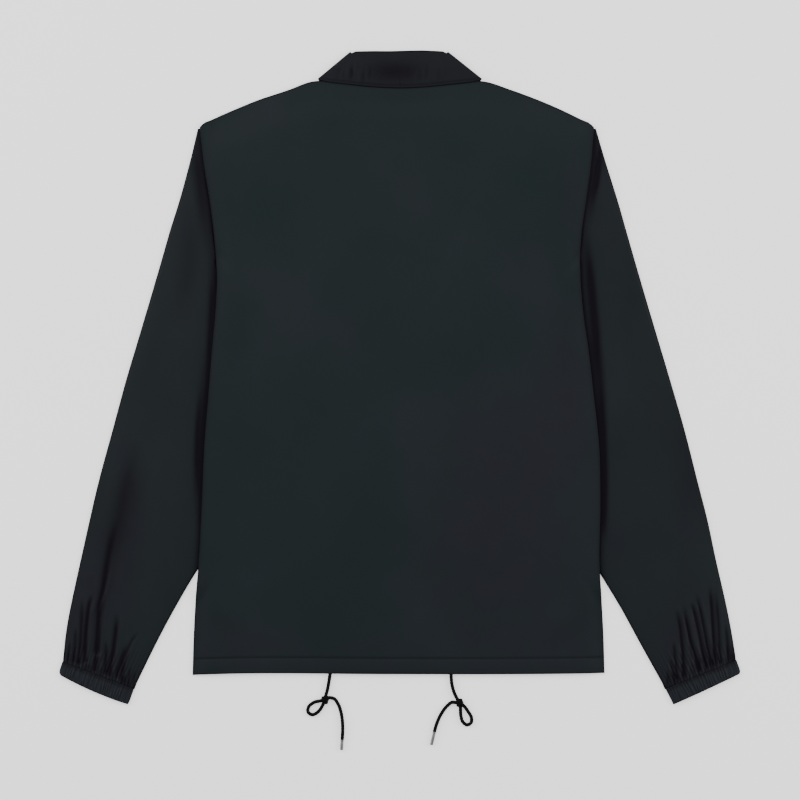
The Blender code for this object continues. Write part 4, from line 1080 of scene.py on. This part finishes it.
def nylon_group():
    """Woven nylon: a plain weave, slow changes of tone between two colours, and a weave height.

    The tint attribute, broken up by a finer noise, leans the colour to Purple, a painted purple sheen,
    and the fold attribute leans it to a near-black purple, a painted shade.
    """
    tree = bpy.data.node_groups.new("woven_nylon", "ShaderNodeTree")
    for in_out, label, kind, start in (("INPUT", "Dark", "Color", (0.016, 0.021, 0.023, 1.0)),
                                       ("INPUT", "Light", "Color", (0.020, 0.026, 0.028, 1.0)),
                                       ("INPUT", "Purple", "Color", (0.016, 0.016, 0.022, 1.0)),
                                       ("INPUT", "PaintedShade", "Color", (0.001, 0.001, 0.002, 1.0)),
                                       ("INPUT", "Pitch", "Float", 0.0005),
                                       ("INPUT", "Roughness", "Float", 0.5),
                                       ("OUTPUT", "Color", "Color", None),
                                       ("OUTPUT", "Roughness", "Float", None),
                                       ("OUTPUT", "Height", "Float", None)):
        socket = tree.interface.new_socket(name=label, in_out=in_out, socket_type="NodeSocket" + kind)
        if start is not None:
            socket.default_value = start
    given = add_node(tree, "NodeGroupInput", -1000, 0)
    put = add_node(tree, "NodeGroupOutput", 900, 0)
    place = add_node(tree, "ShaderNodeTexCoord", -1000, -300)
    slow = add_noise(tree, place, -700, 200, 7.0, 3.0)
    tone = add_range(tree, slow, -450, 200, {"From Min": 0.35, "From Max": 0.65})
    mottle = add_noise(tree, place, -450, 450, 34.0, 4.0)
    spotted = add_range(tree, mottle, -250, 450, {"From Min": 0.36, "From Max": 0.6, "To Min": 0.5})
    # Painted purple sheen: the purple that the cloth's sheen shows, laid in by the tint attribute.
    lean = add_node(tree, "ShaderNodeAttribute", -100, 500, attribute_name="tint")
    leaning = add_math(tree, "MULTIPLY", 100, 500, (lean, "Fac"), (spotted, "Result"))
    # Painted shade: the fold attribute darkens the colour in creases, seams and along edges.
    deep = add_node(tree, "ShaderNodeAttribute", 100, 700, attribute_name="fold")
    colour, output = given, "Dark"
    for x, label, factor, by in ((100, "Light", tone, "Result"), (300, "Purple", leaning, "Value"),
                                 (550, "PaintedShade", deep, "Fac")):
        mix = add_node(tree, "ShaderNodeMix", x, 300, data_type="RGBA")
        join(tree, (factor, by, mix, "Factor"), (colour, output, mix, "A"), (given, label, mix, "B"))
        colour, output = mix, "Result"
    split = add_node(tree, "ShaderNodeSeparateXYZ", -700, -300)
    join(tree, (place, "Object", split, "Vector"))
    threads = []
    for row, axis in enumerate(("X", "Y")):
        y = -200 - 200 * row
        across = add_math(tree, "DIVIDE", -450, y, (split, axis), (given, "Pitch"))
        full = add_math(tree, "MULTIPLY", -280, y, (across, "Value"), TURN)
        threads.append((add_math(tree, "SINE", -110, y, (full, "Value")), "Value"))
    weave = add_math(tree, "MULTIPLY", 100, -250, *threads)
    slub = add_noise(tree, place, -450, -650, 220.0)
    height = add_math(tree, "MULTIPLY_ADD", 300, -300, (weave, "Value"), 0.35, (slub, "Fac"))
    rough = add_math(tree, "MULTIPLY_ADD", 300, 0, (slub, "Fac"), 0.12, (given, "Roughness"))
    join(tree, (colour, output, put, "Color"), (height, "Value", put, "Height"),
         (rough, "Value", put, "Roughness"))
    return tree


def new_material(name, inputs):
    """A material with plain values on its Principled shader, its tree and the shader."""
    material = bpy.data.materials.new(name)
    material.use_nodes = True
    shader = material.node_tree.nodes["Principled BSDF"]
    set_inputs(shader, inputs)
    return material, material.node_tree, shader


def add_bump(tree, shader, source, output, strength, distance):
    """Raise the surface a little by a height."""
    relief = add_node(tree, "ShaderNodeBump", -200, -250, {"Strength": strength, "Distance": distance})
    join(tree, (source, output, relief, "Height"), (relief, "Normal", shader, "Normal"))


def add_ramp(tree, shader, grain, dark, light):
    """Colour a surface from dark to light by its grain."""
    ramp = add_node(tree, "ShaderNodeValToRGB", -350, 0)
    for stop, colour in zip(ramp.color_ramp.elements, (dark, light)):
        stop.color = (*colour, 1.0)
    join(tree, (grain, "Fac", ramp, "Fac"), (ramp, "Color", shader, "Base Color"))


def nylon_material(name, dark, light, purple, roughness):
    """A nylon finish: the woven group into a Principled shader."""
    material, tree, shader = new_material(name, {"Specular IOR Level": 0.08})
    cloth = add_node(tree, "ShaderNodeGroup", -500, 0, node_tree=NYLON)
    # Purple is the painted purple sheen, and the last colour is the painted shade that the fold attribute
    # lays into creases, seams and edges.
    set_inputs(cloth, {"Dark": (*dark, 1.0), "Light": (*light, 1.0), "Purple": (*purple, 1.0),
                       "PaintedShade": (0.0026, 0.0013, 0.0044, 1.0), "Roughness": roughness})
    join(tree, (cloth, "Color", shader, "Base Color"), (cloth, "Roughness", shader, "Roughness"))
    add_bump(tree, shader, cloth, "Height", 0.25, 0.00012)
    return material


def cord_material():
    """Black braided cord: the braid's lighter threads run along its own lengthwise map."""
    material, tree, shader = new_material("drawcord_black", {"Roughness": 0.8, "Specular IOR Level": 0.1})
    place = add_node(tree, "ShaderNodeUVMap", -900, 0, uv_map="cord")
    grain = add_noise(tree, place, -600, 0, 900.0)
    add_ramp(tree, shader, grain, (0.0008, 0.0008, 0.0010), (0.0040, 0.0040, 0.0046))
    add_bump(tree, shader, grain, "Fac", 0.4, 0.0001)
    return material


def metal_material(name, colour, roughness, metallic=1.0):
    """Plain metal or enamel with a faint brushed unevenness."""
    material, tree, shader = new_material(name, {"Base Color": (*colour, 1.0), "Metallic": metallic})
    place = add_node(tree, "ShaderNodeTexCoord", -800, 0)
    grain = add_noise(tree, place, -550, 0, 1500.0)
    spread = add_range(tree, grain, -300, 0, {"To Min": roughness - 0.08, "To Max": roughness + 0.1})
    join(tree, (spread, "Result", shader, "Roughness"))
    return material


def thread_material():
    """Sewing thread, a little lighter than the cloth."""
    material, tree, shader = new_material("sewing_thread", {"Specular IOR Level": 0.15})
    place = add_node(tree, "ShaderNodeTexCoord", -700, 0)
    grain = add_noise(tree, place, -450, 0, 400.0)
    add_ramp(tree, shader, grain, (0.0050, 0.0064, 0.0070), (0.0080, 0.0100, 0.0110))
    return material


def make_stage():
    """A white floor, a wide soft light overhead, two long side lights, and the camera."""
    world = bpy.data.worlds.new("studio")
    world.use_nodes = True
    set_inputs(world.node_tree.nodes["Background"], {"Color": (1.0, 1.0, 1.0, 1.0), "Strength": 0.55})
    bpy.context.scene.world = world
    bpy.ops.mesh.primitive_plane_add(size=12.0, location=(0.0, 0.0, -0.0002))
    floor = bpy.context.object
    floor.name = "studio_floor"
    paper = new_material("white_paper", {"Base Color": (0.94, 0.94, 0.94, 1.0), "Roughness": 0.9,
                                         "Emission Color": (1.0, 1.0, 1.0, 1.0), "Emission Strength": 0.7})
    floor.data.materials.append(paper[0])
    for name, power, size, place in (("overhead", 40.0, 2.6, (-0.5, 1.4, 2.6)),
                                     ("left_strip", 36.0, 1.4, (-2.4, 0.6, 1.3)),
                                     ("right_strip", 38.0, 1.2, (2.4, 0.3, 1.4))):
        lamp = bpy.data.lights.new(name, "AREA")
        lamp.energy = power
        lamp.shape = "SQUARE"
        lamp.size = size
        made = bpy.data.objects.new(name, lamp)
        made.location = place
        made.rotation_euler = (-Vector(place)).to_track_quat("-Z", "Y").to_euler()
        bpy.context.scene.collection.objects.link(made)
    lens = bpy.data.cameras.new("photo_camera")
    lens.sensor_width = SENSOR
    lens.lens = SENSOR * CAMERA_HEIGHT / (VIEW_WIDTH * MM)
    lens.clip_end = 50.0
    camera = bpy.data.objects.new("photo_camera", lens)
    camera.location = (VIEW_CENTRE[0] * MM, VIEW_CENTRE[1] * MM, CAMERA_HEIGHT)
    bpy.context.scene.collection.objects.link(camera)
    bpy.context.scene.camera = camera


def dress(piece, material, slot, *nodes):
    """Give a piece its finish and its body, and hide the solids that it stands for. slot is not used."""
    piece.data.materials.append(material)
    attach(piece, "root")
    if nodes:
        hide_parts(*nodes)
    return piece


make_stage()
NYLON = nylon_group()
# Dark and light tones, the painted purple sheen, and roughness
body_nylon = nylon_material("body_nylon", (0.0094, 0.0156, 0.0168), (0.0124, 0.0170, 0.0196),
                            (0.0136, 0.0138, 0.0190), 0.42)
sleeve_nylon = nylon_material("sleeve_nylon", (0.0098, 0.0142, 0.0156), (0.0122, 0.0160, 0.0186),
                              (0.0112, 0.0112, 0.0160), 0.4)
cuff_nylon = nylon_material("cuff_nylon", (0.0100, 0.0132, 0.0154), (0.0118, 0.0156, 0.0176),
                            (0.0140, 0.0160, 0.0206), 0.45)
# The collar's nylon is painted darker than the body's, as shade for its steeper angle to the light.
collar_nylon = nylon_material("collar_nylon", (0.0072, 0.0080, 0.0114), (0.0088, 0.0100, 0.0132),
                              (0.0068, 0.0068, 0.0100), 0.38)
cord_black = cord_material()
tip_steel = metal_material("tip_steel", (0.2, 0.2, 0.205), 0.42)
snap_enamel = metal_material("snap_enamel", (0.012, 0.014, 0.015), 0.35, 0.3)
thread = thread_material()

# Cloth, left before right
back, hem_line = make_back()
dress(back, body_nylon, "nylon", "back")
front_left, left_lines = make_front("front_left_cloth", -1.0, LAYER)
front_right, right_lines = make_front("front_right_cloth", 1.0, 2.0 * LAYER)
dress(front_left, body_nylon, "nylon", "front_left")
dress(front_right, body_nylon, "nylon", "front_right")
sleeve_left = make_sleeve("sleeve_left_cloth", LEFT_SLEEVE, LEFT_CREASES, -1.0, 11)
sleeve_right = make_sleeve("sleeve_right_cloth", RIGHT_SLEEVE, RIGHT_CREASES, 1.0, 5)
dress(sleeve_left, sleeve_nylon, "nylon", "sleeve_left")
dress(sleeve_right, sleeve_nylon, "nylon", "sleeve_right")
cuff_left, left_cuff_line = make_cuff("cuff_left_cloth", LEFT_CUFF, 0.4)
cuff_right, right_cuff_line = make_cuff("cuff_right_cloth", RIGHT_CUFF, 1.9)
dress(cuff_left, cuff_nylon, "cuff_nylon", "cuff_left")
dress(cuff_right, cuff_nylon, "cuff_nylon", "cuff_right")
collar_mesh, collar_skin = folded_band(
    "collar_cloth", (WING, COLLAR_SIDE, COLLAR_BACK), (WING_Z, FALL_Z), (FALL_FOLD, FALL_INSET, ROLL_CURL),
    (40, 13, 110, FALL_ROWS), collar_relief)
collar = dress(link("collar_cloth", collar_mesh), collar_nylon, "collar_nylon", "collar")
stand_mesh, _ = folded_band(
    "collar_stand_cloth", (STAND_FRONT, STAND_SIDE, STAND_BACK), (STAND_FRONT_Z, STAND_BACK_Z),
    (STAND_FOLD, STAND_INSET, 1.0), (24, 9, 40, 14), plain_relief)
stand = dress(link("collar_stand_cloth", stand_mesh), collar_nylon, "collar_nylon", "collar_stand")

# Sewing. The fall is sewn behind, from the column past each fold.
collar_stitch_at = np.abs((1.0 - np.linspace(0.0, 1.0, FALL_ROWS)) * FALL_DEPTH - COLLAR_STITCH_IN)
collar_row = collar_skin[FALL_EXTRA_ROWS + np.argmin(collar_stitch_at), STITCHED_FROM:-STITCHED_FROM]
for label, lines, sewing, facing, slot in (
        ("hem", [hem_line], HEM_SEWING, 1.0, "nylon"),
        ("front_left", left_lines, HEM_SEWING, -1.0, "nylon"),
        ("front_right", right_lines[:1], HEM_SEWING, -1.0, "nylon"),
        ("cuff_left", [left_cuff_line], CUFF_SEWING, 1.0, "cuff_nylon"),
        ("cuff_right", [right_cuff_line], CUFF_SEWING, 1.0, "cuff_nylon"),
        ("collar", [collar_row], COLLAR_SEWING, 1.0, "collar_nylon")):
    dress(stitches(label + "_stitches", lines, sewing, facing), thread, slot)

# Snap fasteners on the underside
for number in range(SNAP_COUNT):
    node = f"snap_{number + 1}"
    disc = turned_disc(node + "_cap", 0.0, SNAP_TOP_Y - number * SNAP_PITCH, SNAP_PROFILE)
    dress(disc, snap_enamel, "snap_enamel", node)
for node in ("eyelet_left", "eyelet_right"):
    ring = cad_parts[node]
    ring.data.materials.clear()
    ring.data.materials.append(tip_steel)

# Drawcord
for side, route, knot, tip in (("left", LEFT_ROUTE, LEFT_KNOT, LEFT_TIP),
                               ("right", RIGHT_ROUTE, RIGHT_KNOT, RIGHT_TIP)):
    cord, path = make_cord("drawcord_" + side, route)
    dress(cord, cord_black, "cord", "cord_lead_" + side, "cord_loop_" + side, "cord_tail_" + side)
    wraps = dress(make_knot("drawcord_knot_" + side, knot), cord_black, "cord", "cord_knot_" + side)
    end = dress(make_tip("drawcord_tip_" + side, tip), tip_steel, "tip_metal", "cord_tip_" + side)
